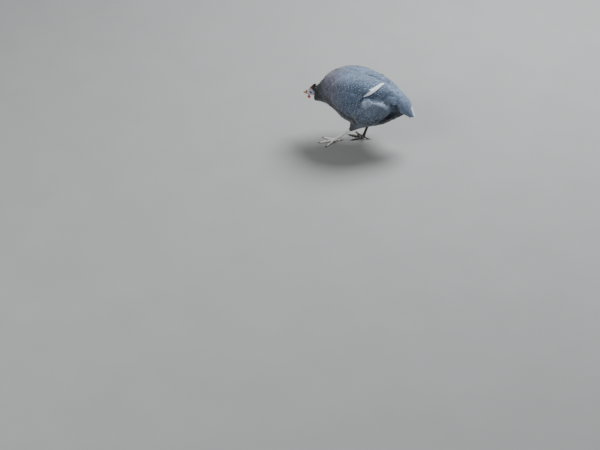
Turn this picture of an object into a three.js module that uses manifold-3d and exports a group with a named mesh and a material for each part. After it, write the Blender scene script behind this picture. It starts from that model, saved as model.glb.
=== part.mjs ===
// Guinea fowl, life size, standing hunched with one foot forward.
// Millimetres. The bird faces -X, its left side is -Y, up is +Z, floor z = 0.
import * as THREE from 'three';
import { mergeVertices } from 'three/addons/utils/BufferGeometryUtils.js';
import Module from 'manifold-3d';

const wasm = await Module();
wasm.setup();

// ---------------------------------------------------------------- sizes
const GAP = 0.3;               // clearance left between neighbouring solids
const BODY_SEGS = 32;          // points round a body section
const BODY_RINGS = 32;         // sections along neck and trunk

// Feathered outline of neck and trunk, front to back: x and z of the section
// centre, lean of the section (degrees, top rearwards), half height up, half
// height down, half width.
const BODY = [
  { x: -184, z: 177, lean: 6, up: 19, down: 21, wide: 17 },    // feather edge behind the bare head
  { x: -173, z: 179, lean: 7, up: 29, down: 28, wide: 26 },    // thin of the neck
  { x: -158, z: 188, lean: 5, up: 41, down: 35, wide: 36 },
  { x: -141, z: 200, lean: 2, up: 52, down: 46, wide: 47 },    // base of the neck
  { x: -121, z: 207, lean: 0, up: 62, down: 56, wide: 61 },    // shoulders
  { x: -96, z: 206, lean: 0, up: 75, down: 69, wide: 75 },
  { x: -66, z: 198, lean: 0, up: 89, down: 88, wide: 84.5 },     // breast
  { x: -30, z: 192, lean: 0, up: 97, down: 101, wide: 88 },    // deepest section
  { x: 8, z: 189, lean: 0, up: 94, down: 103, wide: 87 },
  { x: 44, z: 187, lean: 0, up: 82, down: 98, wide: 79.5 },      // belly
  { x: 78, z: 186, lean: 0, up: 70, down: 85, wide: 66.5 },      // rump
  { x: 108, z: 186, lean: 0, up: 56, down: 66, wide: 51.5 },
  { x: 133, z: 182, lean: 0, up: 43, down: 46, wide: 38 },     // vent
  { x: 150, z: 177, lean: 0, up: 26, down: 27, wide: 25 },
];
const BODY_FRONT = { x: -188, z: 176.5 };
const BODY_BACK = { x: 157, z: 176 };
const NECK_CUT = { x: -136, z: 203, lean: -12 };   // where neck and trunk part

// Folded wing: a shell lying on the trunk. 'at' counts body sections, 'top'
// and 'low' are degrees from the ridge of the back.
const WING = [
  { at: 4.35, top: 60, low: 76 },
  { at: 4.75, top: 40, low: 92 },
  { at: 5.4, top: 26, low: 98 },
  { at: 6.2, top: 18, low: 97 },
  { at: 7.0, top: 13, low: 89 },
  { at: 8.0, top: 10, low: 75 },
  { at: 9.0, top: 9, low: 61 },
  { at: 10.0, top: 10, low: 48 },
  { at: 10.8, top: 14, low: 36 },
  { at: 11.2, top: 20, low: 29 },
];
const WING_THICK = 8.5;        // at the middle of the shell
const WING_EDGE = 1.6;         // at its rim
const WING_SINK = 2.5;         // how far the shell starts under the trunk surface

// Tail: short drooping fan with its coverts, roof shaped across.
const TAIL = [
  { x: 112, z: 201, lean: 18, thick: 25, wide: 33 },
  { x: 132, z: 192, lean: 31, thick: 24, wide: 36 },
  { x: 149, z: 178, lean: 44, thick: 19, wide: 36 },
  { x: 162, z: 163, lean: 53, thick: 12.5, wide: 29 },
  { x: 173, z: 148, lean: 58, thick: 7, wide: 19.5 },
  { x: 180, z: 138, lean: 58, thick: 3.2, wide: 9 },
];
const TAIL_ROOF = 0.0058;      // drop of the fan per mm^2 off the middle line

// Head: its own frame, x forward along the bill, z up, at the head centre.
const HEAD_AT = { x: -188, z: 183 };
const HEAD_DIP = 12;           // degrees the bill points down
const HEAD = [
  { x: -19, z: -2.5, up: 10, down: 11, wide: 9.5 },
  { x: -14, z: -1.2, up: 13.2, down: 13.6, wide: 12.2 },
  { x: -7, z: 0, up: 15, down: 15, wide: 13.8 },
  { x: 1, z: 0, up: 14.4, down: 14.8, wide: 13.6 },
  { x: 8, z: -1, up: 11.8, down: 12.2, wide: 11.2 },
  { x: 13.5, z: -2.2, up: 9, down: 9, wide: 8.6 },
  { x: 17, z: -3, up: 6, down: 6, wide: 5.8 },
];
const HEAD_BACK = -21, HEAD_FRONT = 18.6;
const EYE = { x: 0.6, z: 3.4, side: 9.4, r: 5.3 };
const LID = { ring: 5.6, thick: 1.25, side: 12.3 };
const CASQUE = [               // horny helmet on the crown, leaning back
  { z: 10, x: -6, long: 11, wide: 6.8 },
  { z: 15, x: -7.6, long: 9.8, wide: 6 },
  { z: 19, x: -10.2, long: 7.8, wide: 5 },
  { z: 23, x: -13.4, long: 6, wide: 4.1 },
  { z: 26.5, x: -16.6, long: 4.4, wide: 3.2 },
  { z: 28.6, x: -18.5, long: 2.7, wide: 2.1 },
];
const CASQUE_TOP = { z: 29.5, x: -19.2 };
const BILL_UPPER = [           // x forward, top and bottom edge, half width
  { x: 8, top: 5.4, low: -4.0, wide: 6.6 },
  { x: 14, top: 5.0, low: -4.3, wide: 6.1 },
  { x: 20, top: 4.0, low: -4.6, wide: 5.2 },
  { x: 25.5, top: 2.0, low: -5.2, wide: 4.1 },
  { x: 30, top: -1.0, low: -6.3, wide: 2.8 },
  { x: 33, top: -4.2, low: -8.0, wide: 1.5 },
];
const BILL_UPPER_TIP = { x: 34.1, z: -8.3 };
const BILL_LOWER = [
  { x: 8, top: -4.8, low: -10.4, wide: 6.0 },
  { x: 14, top: -4.9, low: -10.4, wide: 5.5 },
  { x: 20, top: -5.2, low: -10.2, wide: 4.5 },
  { x: 25, top: -5.8, low: -9.5, wide: 3.1 },
  { x: 28, top: -6.5, low: -8.8, wide: 1.6 },
];
const BILL_LOWER_TIP = { x: 29.4, z: -8.0 };
const WATTLE = { x: 11.5, z: -15.5, side: 8.4, long: 5.6, high: 7.4, thick: 1.7, splay: 16, back: 14 };

// Legs. 'ankle' is the hock, 'foot' the joint of the toes on the floor.
const LEGS = {
  left: {
    side: -1, hip: [46, -38, 190], flank: [28, -57, 164], calf: [4, -49, 133],
    low: [-16, -40, 101], cuff: [-29, -33, 77], ankle: [-36, -30, 65.5], foot: [-95, -26, 6.6], toeOut: 27,
  },
  right: {
    side: 1, hip: [46, 38, 190], flank: [41, 57, 164], calf: [34, 49, 132],
    low: [26, 40, 106], cuff: [21.5, 34, 89], ankle: [21, 31, 81], foot: [0, 15, 6.6], toeOut: 8,
  },
};
const THIGH_SIZE = [           // half size across and sideways at those six points
  [30, 20], [48, 35], [38, 33], [23, 21], [12.5, 12], [8.4, 8],
];
const SHANK = [                // from hock to foot: part of the way, fore-aft, sideways
  { t: -0.07, fore: 5.2, side: 4.8 },
  { t: 0.0, fore: 7.2, side: 6.4 },
  { t: 0.09, fore: 6.3, side: 5.6 },
  { t: 0.25, fore: 4.9, side: 4.3 },
  { t: 0.55, fore: 4.7, side: 4.2 },
  { t: 0.8, fore: 5.2, side: 5.0 },
  { t: 0.93, fore: 6.2, side: 6.6 },
  { t: 1.0, fore: 6.6, side: 7.0 },
];
const TOES = {                 // turn from straight ahead (outwards), length, girth
  middle: { turn: 0, long: 54, r: 4.6, joints: 3 },
  inner: { turn: -38, long: 42, r: 4.2, joints: 2 },
  outer: { turn: 36, long: 44, r: 4.2, joints: 3 },
  back: { turn: 172, long: 19, r: 3.6, joints: 1 },
};
const CLAW_LONG = 10.5;

// ---------------------------------------------------------------- helpers
const RAD = Math.PI / 180;
const mix = (a, b, t) => a + (b - a) * t;
const power = (v, p) => Math.sign(v) * Math.pow(Math.abs(v), p);

// value of one column of a table at a fractional row, smooth through all rows
function curve(rows, key, at) {
  const n = rows.length - 1;
  const t = Math.min(Math.max(at, 0), n);
  const i = Math.min(Math.floor(t), n - 1);
  const f = t - i;
  const p1 = rows[i][key], p2 = rows[i + 1][key];
  const p0 = i > 0 ? rows[i - 1][key] : 2 * p1 - p2;
  const p3 = i + 2 <= n ? rows[i + 2][key] : 2 * p2 - p1;
  const m1 = (p2 - p0) / 2, m2 = (p3 - p1) / 2;
  const f2 = f * f, f3 = f2 * f;
  return (2 * f3 - 3 * f2 + 1) * p1 + (f3 - 2 * f2 + f) * m1 + (-2 * f3 + 3 * f2) * p2 + (f3 - f2) * m2;
}

// closed solid through rings of equal length, a pole point at each end
function loft(rings, first, last) {
  const n = rings[0].length;
  const pos = [], idx = [];
  pos.push(...first);
  for (const ring of rings) for (const p of ring) pos.push(...p);
  pos.push(...last);
  const end = 1 + rings.length * n;
  const id = (r, k) => 1 + r * n + ((k % n) + n) % n;
  for (let k = 0; k < n; k++) {
    idx.push(0, id(0, k + 1), id(0, k));
    idx.push(end, id(rings.length - 1, k), id(rings.length - 1, k + 1));
  }
  for (let r = 0; r + 1 < rings.length; r++) {
    for (let k = 0; k < n; k++) {
      idx.push(id(r, k), id(r, k + 1), id(r + 1, k + 1));
      idx.push(id(r, k), id(r + 1, k + 1), id(r + 1, k));
    }
  }
  let vol = 0;
  const v = (i) => pos.slice(3 * i, 3 * i + 3);
  for (let i = 0; i < idx.length; i += 3) {
    const a = v(idx[i]), b = v(idx[i + 1]), c = v(idx[i + 2]);
    vol += a[0] * (b[1] * c[2] - b[2] * c[1]) + a[1] * (b[2] * c[0] - b[0] * c[2]) + a[2] * (b[0] * c[1] - b[1] * c[0]);
  }
  if (vol < 0) for (let i = 0; i < idx.length; i += 3) [idx[i + 1], idx[i + 2]] = [idx[i + 2], idx[i + 1]];
  return new wasm.Manifold(new wasm.Mesh({
    numProp: 3, vertProperties: new Float32Array(pos), triVerts: new Uint32Array(idx),
  }));
}

// cutting may leave crumbs beside the piece itself
function largest(solid) {
  const pieces = solid.decompose();
  return pieces.reduce((a, b) => (b.volume() > a.volume() ? b : a));
}

function toGeometry(solid) {
  const m = solid.getMesh();
  const g = new THREE.BufferGeometry();
  g.setAttribute('position', new THREE.BufferAttribute(new Float32Array(m.vertProperties), 3));
  g.setIndex(new THREE.BufferAttribute(new Uint32Array(m.triVerts), 1));
  return mergeVertices(g, 1e-4);
}

// ---------------------------------------------------------------- body surface
// point of the feathered surface; deg from the ridge of the back, side -1 or +1
function bodyPoint(at, deg, grow = 0) {
  const lean = curve(BODY, 'lean', at) * RAD;
  const s = Math.sin(deg * RAD), c = Math.cos(deg * RAD);
  const w = curve(BODY, 'wide', at) + grow;
  const h = (c > 0 ? curve(BODY, 'up', at) : curve(BODY, 'down', at)) + grow;
  const y = w * power(s, 0.96);
  const z = h * power(c, 0.96);
  return [curve(BODY, 'x', at) + z * Math.sin(lean), y, curve(BODY, 'z', at) + z * Math.cos(lean)];
}

function bodyNormal(at, deg) {
  const e = 0.02;
  const a = new THREE.Vector3(...bodyPoint(at + e, deg)).sub(new THREE.Vector3(...bodyPoint(at - e, deg)));
  const b = new THREE.Vector3(...bodyPoint(at, deg + 1)).sub(new THREE.Vector3(...bodyPoint(at, deg - 1)));
  const n = b.cross(a).normalize();
  const c = new THREE.Vector3(curve(BODY, 'x', at), 0, curve(BODY, 'z', at));
  const p = new THREE.Vector3(...bodyPoint(at, deg));
  return n.dot(p.sub(c)) < 0 ? n.negate() : n;
}

function bodySolid(grow = 0) {
  const rings = [];
  const last = BODY.length - 1;
  for (let i = 0; i <= BODY_RINGS; i++) {
    const at = last * i / BODY_RINGS;
    const ring = [];
    for (let k = 0; k < BODY_SEGS; k++) ring.push(bodyPoint(at, 360 * k / BODY_SEGS, grow));
    rings.push(ring);
  }
  return loft(rings, [BODY_FRONT.x - grow, 0, BODY_FRONT.z], [BODY_BACK.x + grow, 0, BODY_BACK.z]);
}

const bodyWhole = bodySolid();
const bodyWide = bodySolid(GAP);
const cutNormal = [Math.cos(NECK_CUT.lean * RAD), 0, Math.sin(NECK_CUT.lean * RAD)];
const cutAt = cutNormal[0] * NECK_CUT.x + cutNormal[2] * NECK_CUT.z;
const trunkSolid = bodyWhole.trimByPlane(cutNormal, cutAt + GAP / 2);
let neckSolid = bodyWhole.trimByPlane(cutNormal.map((v) => -v), -cutAt + GAP / 2);

// ---------------------------------------------------------------- wings
function wingSolid(side) {
  const along = 12, across = 6;
  const rings = [];
  for (let i = 0; i <= along; i++) {
    const row = (WING.length - 1) * i / along;
    const at = curve(WING, 'at', row), top = curve(WING, 'top', row), low = curve(WING, 'low', row);
    const fade = Math.pow(Math.sin(Math.PI * Math.min(Math.max(i / along, 0.03), 0.97)), 0.55);
    const outer = [], inner = [];
    for (let k = 0; k <= across; k++) {
      const t = k / across;
      const deg = side * mix(top, low, t);
      const n = bodyNormal(at, deg);
      const p = new THREE.Vector3(...bodyPoint(at, deg));
      const thick = WING_EDGE + (WING_THICK - WING_EDGE) * fade * Math.pow(Math.sin(Math.PI * t), 0.7);
      outer.push(p.clone().addScaledVector(n, thick).toArray());
      inner.push(p.clone().addScaledVector(n, -WING_SINK).toArray());
    }
    rings.push([...outer, ...inner.reverse()]);
  }
  const centre = (ring) => [0, 1, 2].map((a) => ring.reduce((s, p) => s + p[a], 0) / ring.length);
  return loft(rings, centre(rings[0]), centre(rings[along])).subtract(bodyWide);
}

// ---------------------------------------------------------------- tail
function tailSolid() {
  const rings = [];
  const n = 18, along = 8;
  for (let i = 0; i <= along; i++) {
    const row = (TAIL.length - 1) * i / along;
    const lean = curve(TAIL, 'lean', row) * RAD;
    const h = curve(TAIL, 'thick', row), w = curve(TAIL, 'wide', row);
    const ring = [];
    for (let k = 0; k < n; k++) {
      const a = 2 * Math.PI * k / n;
      const y = w * power(Math.sin(a), 0.9);
      const z = h * power(Math.cos(a), 0.9) - TAIL_ROOF * y * y;
      ring.push([curve(TAIL, 'x', row) + z * Math.sin(lean), y, curve(TAIL, 'z', row) + z * Math.cos(lean)]);
    }
    rings.push(ring);
  }
  const a = TAIL[0], b = TAIL[TAIL.length - 1];
  return loft(rings, [a.x - 4, 0, a.z], [b.x + 1.2, 0, b.z - 3.4]).subtract(bodyWide);
}

// ---------------------------------------------------------------- head
const dip = HEAD_DIP * RAD;
// head frame to world: x forward (towards -X and down), y as it is, z up
const headPoint = (x, y, z) => [
  HEAD_AT.x - x * Math.cos(dip) - z * Math.sin(dip), y, HEAD_AT.z - x * Math.sin(dip) + z * Math.cos(dip),
];

function headSolid(grow = 0) {
  const rings = [], n = 18, along = 9;
  for (let i = 0; i <= along; i++) {
    const row = (HEAD.length - 1) * i / along;
    const ring = [];
    for (let k = 0; k < n; k++) {
      const a = 2 * Math.PI * k / n, c = Math.cos(a);
      const h = curve(HEAD, c > 0 ? 'up' : 'down', row) + grow;
      ring.push(headPoint(curve(HEAD, 'x', row), (curve(HEAD, 'wide', row) + grow) * Math.sin(a), curve(HEAD, 'z', row) + h * c));
    }
    rings.push(ring);
  }
  return loft(rings, headPoint(HEAD_BACK - grow, 0, -2.8), headPoint(HEAD_FRONT + grow, 0, -3.8));
}

function ball(centre, r, segs = 10, rows = 7) {
  const rings = [];
  for (let i = 1; i < rows; i++) {
    const a = Math.PI * i / rows, ring = [];
    for (let k = 0; k < segs; k++) {
      const b = 2 * Math.PI * k / segs;
      ring.push([centre[0] + r * Math.sin(a) * Math.cos(b), centre[1] - r * Math.cos(a), centre[2] + r * Math.sin(a) * Math.sin(b)]);
    }
    rings.push(ring);
  }
  return loft(rings, [centre[0], centre[1] - r, centre[2]], [centre[0], centre[1] + r, centre[2]]);
}

// rim of skin round the eye
function lidRing(side) {
  const g = new THREE.TorusGeometry(LID.ring, LID.thick, 4, 12);
  g.rotateX(Math.PI / 2);
  g.translate(EYE.x, side * LID.side, EYE.z);
  const p = g.getAttribute('position');
  for (let i = 0; i < p.count; i++) p.setXYZ(i, ...headPoint(p.getX(i), p.getY(i), p.getZ(i)));
  g.deleteAttribute('normal');
  g.deleteAttribute('uv');
  const m = mergeVertices(g, 1e-4);
  const tri = Uint32Array.from(m.index.array);
  for (let i = 0; i < tri.length; i += 3) [tri[i + 1], tri[i + 2]] = [tri[i + 2], tri[i + 1]];
  return new wasm.Manifold(new wasm.Mesh({ numProp: 3, vertProperties: new Float32Array(m.attributes.position.array), triVerts: tri }));
}

function casqueSolid() {
  const rings = [], n = 14, along = 6;
  for (let i = 0; i <= along; i++) {
    const row = (CASQUE.length - 1) * i / along;
    const ring = [];
    for (let k = 0; k < n; k++) {
      const a = 2 * Math.PI * k / n;
      ring.push(headPoint(curve(CASQUE, 'x', row) + curve(CASQUE, 'long', row) * Math.cos(a),
        curve(CASQUE, 'wide', row) * Math.sin(a), curve(CASQUE, 'z', row) + 1.1 * Math.cos(a)));
    }
    rings.push(ring);
  }
  return loft(rings, headPoint(CASQUE[0].x, 0, CASQUE[0].z - 1), headPoint(CASQUE_TOP.x, 0, CASQUE_TOP.z));
}

function billSolid(rows, tip, ridge, grow = 0) {
  const rings = [], n = 12, along = 7;
  for (let i = 0; i <= along; i++) {
    const row = (rows.length - 1) * i / along;
    const top = curve(rows, 'top', row) + grow, low = curve(rows, 'low', row) - grow;
    const ring = [];
    for (let k = 0; k < n; k++) {
      const a = 2 * Math.PI * k / n, c = Math.cos(a), s = Math.sin(a);
      const taper = ridge * c > 0 ? 1 - 0.28 * c * c : 1;
      ring.push(headPoint(curve(rows, 'x', row), (curve(rows, 'wide', row) + grow) * power(s, 0.9) * taper, mix(low, top, 0.5 + 0.5 * power(c, 0.8))));
    }
    rings.push(ring);
  }
  return loft(rings, headPoint(rows[0].x - 1 - grow, 0, (rows[0].top + rows[0].low) / 2), headPoint(tip.x + grow, 0, tip.z));
}

function wattleSolid(side) {
  const g = new THREE.SphereGeometry(1, 12, 7);
  g.deleteAttribute('normal');
  g.deleteAttribute('uv');
  const p = g.getAttribute('position');
  const splay = WATTLE.splay * RAD, back = WATTLE.back * RAD;
  for (let i = 0; i < p.count; i++) {
    let x = p.getX(i), y = p.getZ(i) * WATTLE.thick, z = p.getY(i) * WATTLE.high;
    x *= WATTLE.long * (1 - 0.28 * p.getY(i));            // fuller at the bottom
    y += 0.045 * x * x;                                   // cupped
    const y2 = y * Math.cos(splay) - z * Math.sin(splay), z2 = y * Math.sin(splay) + z * Math.cos(splay);
    const x3 = x * Math.cos(back) + z2 * Math.sin(back), z3 = -x * Math.sin(back) + z2 * Math.cos(back);
    p.setXYZ(i, ...headPoint(WATTLE.x + x3, side * (WATTLE.side + y2), WATTLE.z + z3));
  }
  const m = mergeVertices(g, 1e-4);
  const tri = Uint32Array.from(m.index.array);
  let solid = new wasm.Manifold(new wasm.Mesh({ numProp: 3, vertProperties: new Float32Array(m.attributes.position.array), triVerts: tri }));
  if (solid.volume() < 0) {
    for (let i = 0; i < tri.length; i += 3) [tri[i + 1], tri[i + 2]] = [tri[i + 2], tri[i + 1]];
    solid = new wasm.Manifold(new wasm.Mesh({ numProp: 3, vertProperties: new Float32Array(m.attributes.position.array), triVerts: tri }));
  }
  return solid;
}

const headWide = headSolid(GAP);
let head = headSolid();
for (const side of [-1, 1]) {
  head = head.add(lidRing(side));
  head = head.subtract(ball(headPoint(EYE.x, side * EYE.side, EYE.z), EYE.r + GAP));
}
const headKeep = headSolid(GAP).add(lidRing(-1)).add(lidRing(1));
neckSolid = neckSolid.subtract(headWide);
const casque = casqueSolid().subtract(headWide).subtract(bodyWide);
const billUpper = billSolid(BILL_UPPER, BILL_UPPER_TIP, 1).subtract(headWide);
const billLower = billSolid(BILL_LOWER, BILL_LOWER_TIP, -1).subtract(headWide).subtract(billSolid(BILL_UPPER, BILL_UPPER_TIP, 1, GAP));
const wattle = (side) => wattleSolid(side).subtract(headKeep)
  .subtract(billSolid(BILL_LOWER, BILL_LOWER_TIP, -1, GAP)).subtract(billSolid(BILL_UPPER, BILL_UPPER_TIP, 1, GAP));

// ---------------------------------------------------------------- legs
// tube through points with half sizes across (in the leg's own plane) and sideways;
// nothing of it goes below the floor
function limb(points, sizes, segs, steps, endPush = 0.25) {
  const rows = points.map((p, i) => ({ x: p[0], y: p[1], z: p[2], a: sizes[i][0], b: sizes[i][1] }));
  const rings = [];
  const n = (rows.length - 1) * steps;
  const at = (u) => new THREE.Vector3(curve(rows, 'x', u), curve(rows, 'y', u), curve(rows, 'z', u));
  const tangent = (u) => at(Math.min(u + 0.05, rows.length - 1)).sub(at(Math.max(u - 0.05, 0))).normalize();
  for (let i = 0; i <= n; i++) {
    const u = i / steps;
    const t = tangent(u);
    const flat = new THREE.Vector3(0, 1, 0);
    const side = flat.clone().addScaledVector(t, -flat.dot(t)).normalize();
    const fore = side.clone().cross(t).normalize();
    const c = at(u);
    const ring = [];
    for (let k = 0; k < segs; k++) {
      const a = 2 * Math.PI * (k + 0.5) / segs;
      const p = c.clone().addScaledVector(fore, curve(rows, 'a', u) * Math.cos(a)).addScaledVector(side, curve(rows, 'b', u) * Math.sin(a));
      ring.push([p.x, p.y, Math.max(p.z, 0)]);
    }
    rings.push(ring);
  }
  const first = at(0).addScaledVector(tangent(0), -endPush * sizes[0][0]);
  const last = at(rows.length - 1).addScaledVector(tangent(rows.length - 1), endPush * sizes[sizes.length - 1][0]);
  return loft(rings, first.toArray(), [last.x, last.y, Math.max(last.z, 0)]);
}

function thighSolid(leg) {
  return limb([leg.hip, leg.flank, leg.calf, leg.low, leg.cuff, leg.ankle], THIGH_SIZE, 20, 2);
}

function shankSolid(leg, grow = 0) {
  const pts = SHANK.map((s) => [0, 1, 2].map((a) => mix(leg.ankle[a], leg.foot[a], s.t)));
  return limb(pts, SHANK.map((s) => [s.fore + grow, s.side + grow]), 10, 1);
}

// a toe lies on the floor: it starts in the foot joint, swells at its knuckles
// and carries a claw; pads are flat underneath
function toePath(leg, toe) {
  const turn = (leg.toeOut + toe.turn) * RAD * leg.side;
  const dir = [-Math.cos(turn), Math.sin(turn)];
  const bend = (t) => (toe.turn > 90 ? 12 * (1 - t) * (1 - t) : 3.5 * (1 - t) * (1 - t));
  return (t) => [leg.foot[0] + dir[0] * toe.long * t, leg.foot[1] + dir[1] * toe.long * t, bend(t)];
}

function toeSolid(leg, toe, grow = 0) {
  const path = toePath(leg, toe), pts = [], sizes = [], n = 6;
  for (let i = 0; i <= n; i++) {
    const t = 0.04 + 0.96 * i / n;
    const knuckle = 1 + 0.1 * Math.cos(2 * Math.PI * toe.joints * t);
    const r = toe.r * mix(1, 0.62, t) * knuckle + grow;
    const p = path(t);
    pts.push([p[0], p[1], p[2] + r * 0.86]);
    sizes.push([r, r]);
  }
  return limbOnFloor(pts, sizes, 8, 1);
}

function limbOnFloor(points, sizes, segs, steps, endPush = 0.45) {
  const rows = points.map((p, i) => ({ x: p[0], y: p[1], z: p[2], a: sizes[i][0], b: sizes[i][1] }));
  const rings = [], n = (rows.length - 1) * steps;
  const d = new THREE.Vector3(points[points.length - 1][0] - points[0][0], points[points.length - 1][1] - points[0][1], 0).normalize();
  const side = new THREE.Vector3(-d.y, d.x, 0);
  for (let i = 0; i <= n; i++) {
    const u = i / steps;
    const c = [curve(rows, 'x', u), curve(rows, 'y', u), curve(rows, 'z', u)];
    const ring = [];
    for (let k = 0; k < segs; k++) {
      const a = 2 * Math.PI * (k + 0.5) / segs;
      const b = curve(rows, 'b', u) * Math.sin(a);
      ring.push([c[0] + side.x * b, c[1] + side.y * b, Math.max(c[2] + curve(rows, 'a', u) * Math.cos(a), 0)]);
    }
    rings.push(ring);
  }
  const p0 = points[0], p1 = points[points.length - 1];
  const e0 = sizes[0][0] * endPush, e1 = sizes[sizes.length - 1][0] * endPush;
  return loft(rings, [p0[0] - d.x * e0, p0[1] - d.y * e0, p0[2]], [p1[0] + d.x * e1, p1[1] + d.y * e1, p1[2] * 0.9]);
}

function clawSolid(leg, toe) {
  const path = toePath(leg, toe);
  const a = path(0.93), b = path(1);
  const d = Math.hypot(b[0] - a[0], b[1] - a[1]);
  const dir = [(b[0] - a[0]) / d, (b[1] - a[1]) / d];
  const tall = toe.r * 0.62 * 0.86, pts = [], sizes = [], n = 4;
  for (let i = 0; i <= n; i++) {
    const t = i / n;
    const r = mix(toe.r * 0.5, 0.75, Math.pow(t, 0.8));
    pts.push([a[0] + dir[0] * (CLAW_LONG + 3) * t, a[1] + dir[1] * (CLAW_LONG + 3) * t, Math.max(tall * (1 + 0.35 * Math.sin(Math.PI * t) - 0.62 * t * t), r * 0.95)]);
    sizes.push([r * 1.05, r * 0.8]);
  }
  return limbOnFloor(pts, sizes, 6, 1, 0.3).subtract(toeSolid(leg, toe, GAP));
}

// ---------------------------------------------------------------- assembly
const group = new THREE.Group();
group.name = 'guinea_fowl';
const MATERIALS = {
  plumage: { color: 0x6f7f92, roughness: 0.85 },
  plumage_dark: { color: 0x4a4f58, roughness: 0.85 },
  bare_skin: { color: 0xd3d2dc, roughness: 0.6 },
  horn: { color: 0x6a4a34, roughness: 0.5 },
  bill: { color: 0xb98a5a, roughness: 0.45 },
  wattle: { color: 0xb4322c, roughness: 0.5 },
  eye: { color: 0x1c1410, roughness: 0.1 },
  shank_pale: { color: 0xd8d2c4, roughness: 0.6 },
  shank_dark: { color: 0x2b2b2e, roughness: 0.6 },
  claw: { color: 0x4a4038, roughness: 0.5 },
};
const parts = [];
const addPart = (name, solid, mat) => parts.push({ name, solid: largest(solid), mat });

addPart('trunk', trunkSolid, 'plumage');
addPart('neck', neckSolid, 'plumage_dark');
addPart('head', head, 'bare_skin');
addPart('casque', casque, 'horn');
addPart('bill_upper', billUpper, 'bill');
addPart('bill_lower', billLower, 'bill');
addPart('tail', tailSolid(), 'plumage');
for (const [name, side] of [['left', -1], ['right', 1]]) {
  addPart(`eye_${name}`, ball(headPoint(EYE.x, side * EYE.side, EYE.z), EYE.r, 10, 7), 'eye');
  addPart(`wattle_${name}`, wattle(side), 'wattle');
  addPart(`wing_${name}`, wingSolid(side), 'plumage');
}
for (const [name, leg] of Object.entries(LEGS)) {
  const pale = name === 'left' ? 'shank_pale' : 'shank_dark';
  const shank = shankSolid(leg);
  const shankWide = shankSolid(leg, GAP);
  addPart(`thigh_${name}`, thighSolid(leg).subtract(bodyWide).subtract(shankWide), 'plumage');
  addPart(`shank_${name}`, shank, pale);
  let taken = shankWide;
  for (const [which, toe] of Object.entries(TOES)) {
    addPart(`toe_${name}_${which}`, toeSolid(leg, toe).subtract(taken), pale);
    addPart(`claw_${name}_${which}`, clawSolid(leg, toe), 'claw');
    taken = taken.add(toeSolid(leg, toe, GAP));
  }
}

// the middle of the bird's box stands over the origin
const box = new THREE.Box3();
for (const part of parts) {
  part.geometry = toGeometry(part.solid);
  part.geometry.computeBoundingBox();
  box.union(part.geometry.boundingBox);
}
for (const part of parts) {
  part.geometry.translate(-(box.min.x + box.max.x) / 2, -(box.min.y + box.max.y) / 2, -box.min.z);
  part.geometry.computeVertexNormals();
  const m = MATERIALS[part.mat];
  const material = new THREE.MeshStandardMaterial({ color: m.color, roughness: m.roughness, metalness: 0 });
  const mesh = new THREE.Mesh(part.geometry, material);
  mesh.name = part.name;
  group.add(mesh);
}

export default group;
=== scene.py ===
import bpy
import math
import numpy as np
from mathutils import Vector, Matrix
from mathutils.bvhtree import BVHTree
from mathutils.geometry import delaunay_2d_cdt

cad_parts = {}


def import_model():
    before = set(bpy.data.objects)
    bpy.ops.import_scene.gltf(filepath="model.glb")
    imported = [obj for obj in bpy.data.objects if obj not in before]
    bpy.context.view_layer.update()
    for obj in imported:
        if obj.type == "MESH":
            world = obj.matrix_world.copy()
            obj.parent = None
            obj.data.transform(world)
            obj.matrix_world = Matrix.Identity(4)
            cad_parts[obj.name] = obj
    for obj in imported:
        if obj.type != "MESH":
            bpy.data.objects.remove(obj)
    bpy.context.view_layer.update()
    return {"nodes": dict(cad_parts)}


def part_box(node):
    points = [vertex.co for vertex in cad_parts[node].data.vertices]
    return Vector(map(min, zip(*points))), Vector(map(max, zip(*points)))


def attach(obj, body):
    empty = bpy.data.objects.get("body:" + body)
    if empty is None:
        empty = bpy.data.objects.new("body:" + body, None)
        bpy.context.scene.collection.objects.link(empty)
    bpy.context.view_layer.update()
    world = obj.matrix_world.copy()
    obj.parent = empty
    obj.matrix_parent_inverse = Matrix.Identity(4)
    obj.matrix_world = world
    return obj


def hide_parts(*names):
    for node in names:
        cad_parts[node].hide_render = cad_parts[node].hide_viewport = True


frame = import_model()
NODES = frame["nodes"]
rng = np.random.default_rng(2024)

# ------------------------------------------------------------------ shape of the bird
# The same tables as the solids, in millimetres: the bird faces -X, left is -Y.
BODY = [
    (-184, 177, 6, 19, 21, 17), (-173, 179, 7, 29, 28, 26), (-158, 188, 5, 41, 35, 36),
    (-141, 200, 2, 52, 46, 47), (-121, 207, 0, 62, 56, 61), (-96, 206, 0, 75, 69, 75),
    (-66, 198, 0, 89, 88, 84.5), (-30, 192, 0, 97, 101, 88), (8, 189, 0, 94, 103, 87),
    (44, 187, 0, 82, 98, 79.5), (78, 186, 0, 70, 85, 66.5), (108, 186, 0, 56, 66, 51.5),
    (133, 182, 0, 43, 46, 38), (150, 177, 0, 26, 27, 25),
]
BODY = dict(zip(("x", "z", "lean", "up", "down", "wide"), np.array(BODY, float).T))
WING = np.array([
    (4.35, 60, 76), (4.75, 40, 92), (5.4, 26, 98), (6.2, 18, 97), (7.0, 13, 89),
    (8.0, 10, 75), (9.0, 9, 61), (10.0, 10, 48), (10.8, 14, 36), (11.2, 20, 29)], float)
TAIL = np.array([
    (112, 201, 18, 25, 33), (132, 192, 31, 24, 36), (149, 178, 44, 19, 36),
    (162, 163, 53, 12.5, 29), (173, 148, 58, 7, 19.5), (180, 138, 58, 3.2, 9)], float)
TAIL = dict(zip(("x", "z", "lean", "thick", "wide"), TAIL.T))
TAIL_ROOF = 0.0058
HEAD_AT = (-188.0, 183.0)
HEAD_DIP = math.radians(12)
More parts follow.
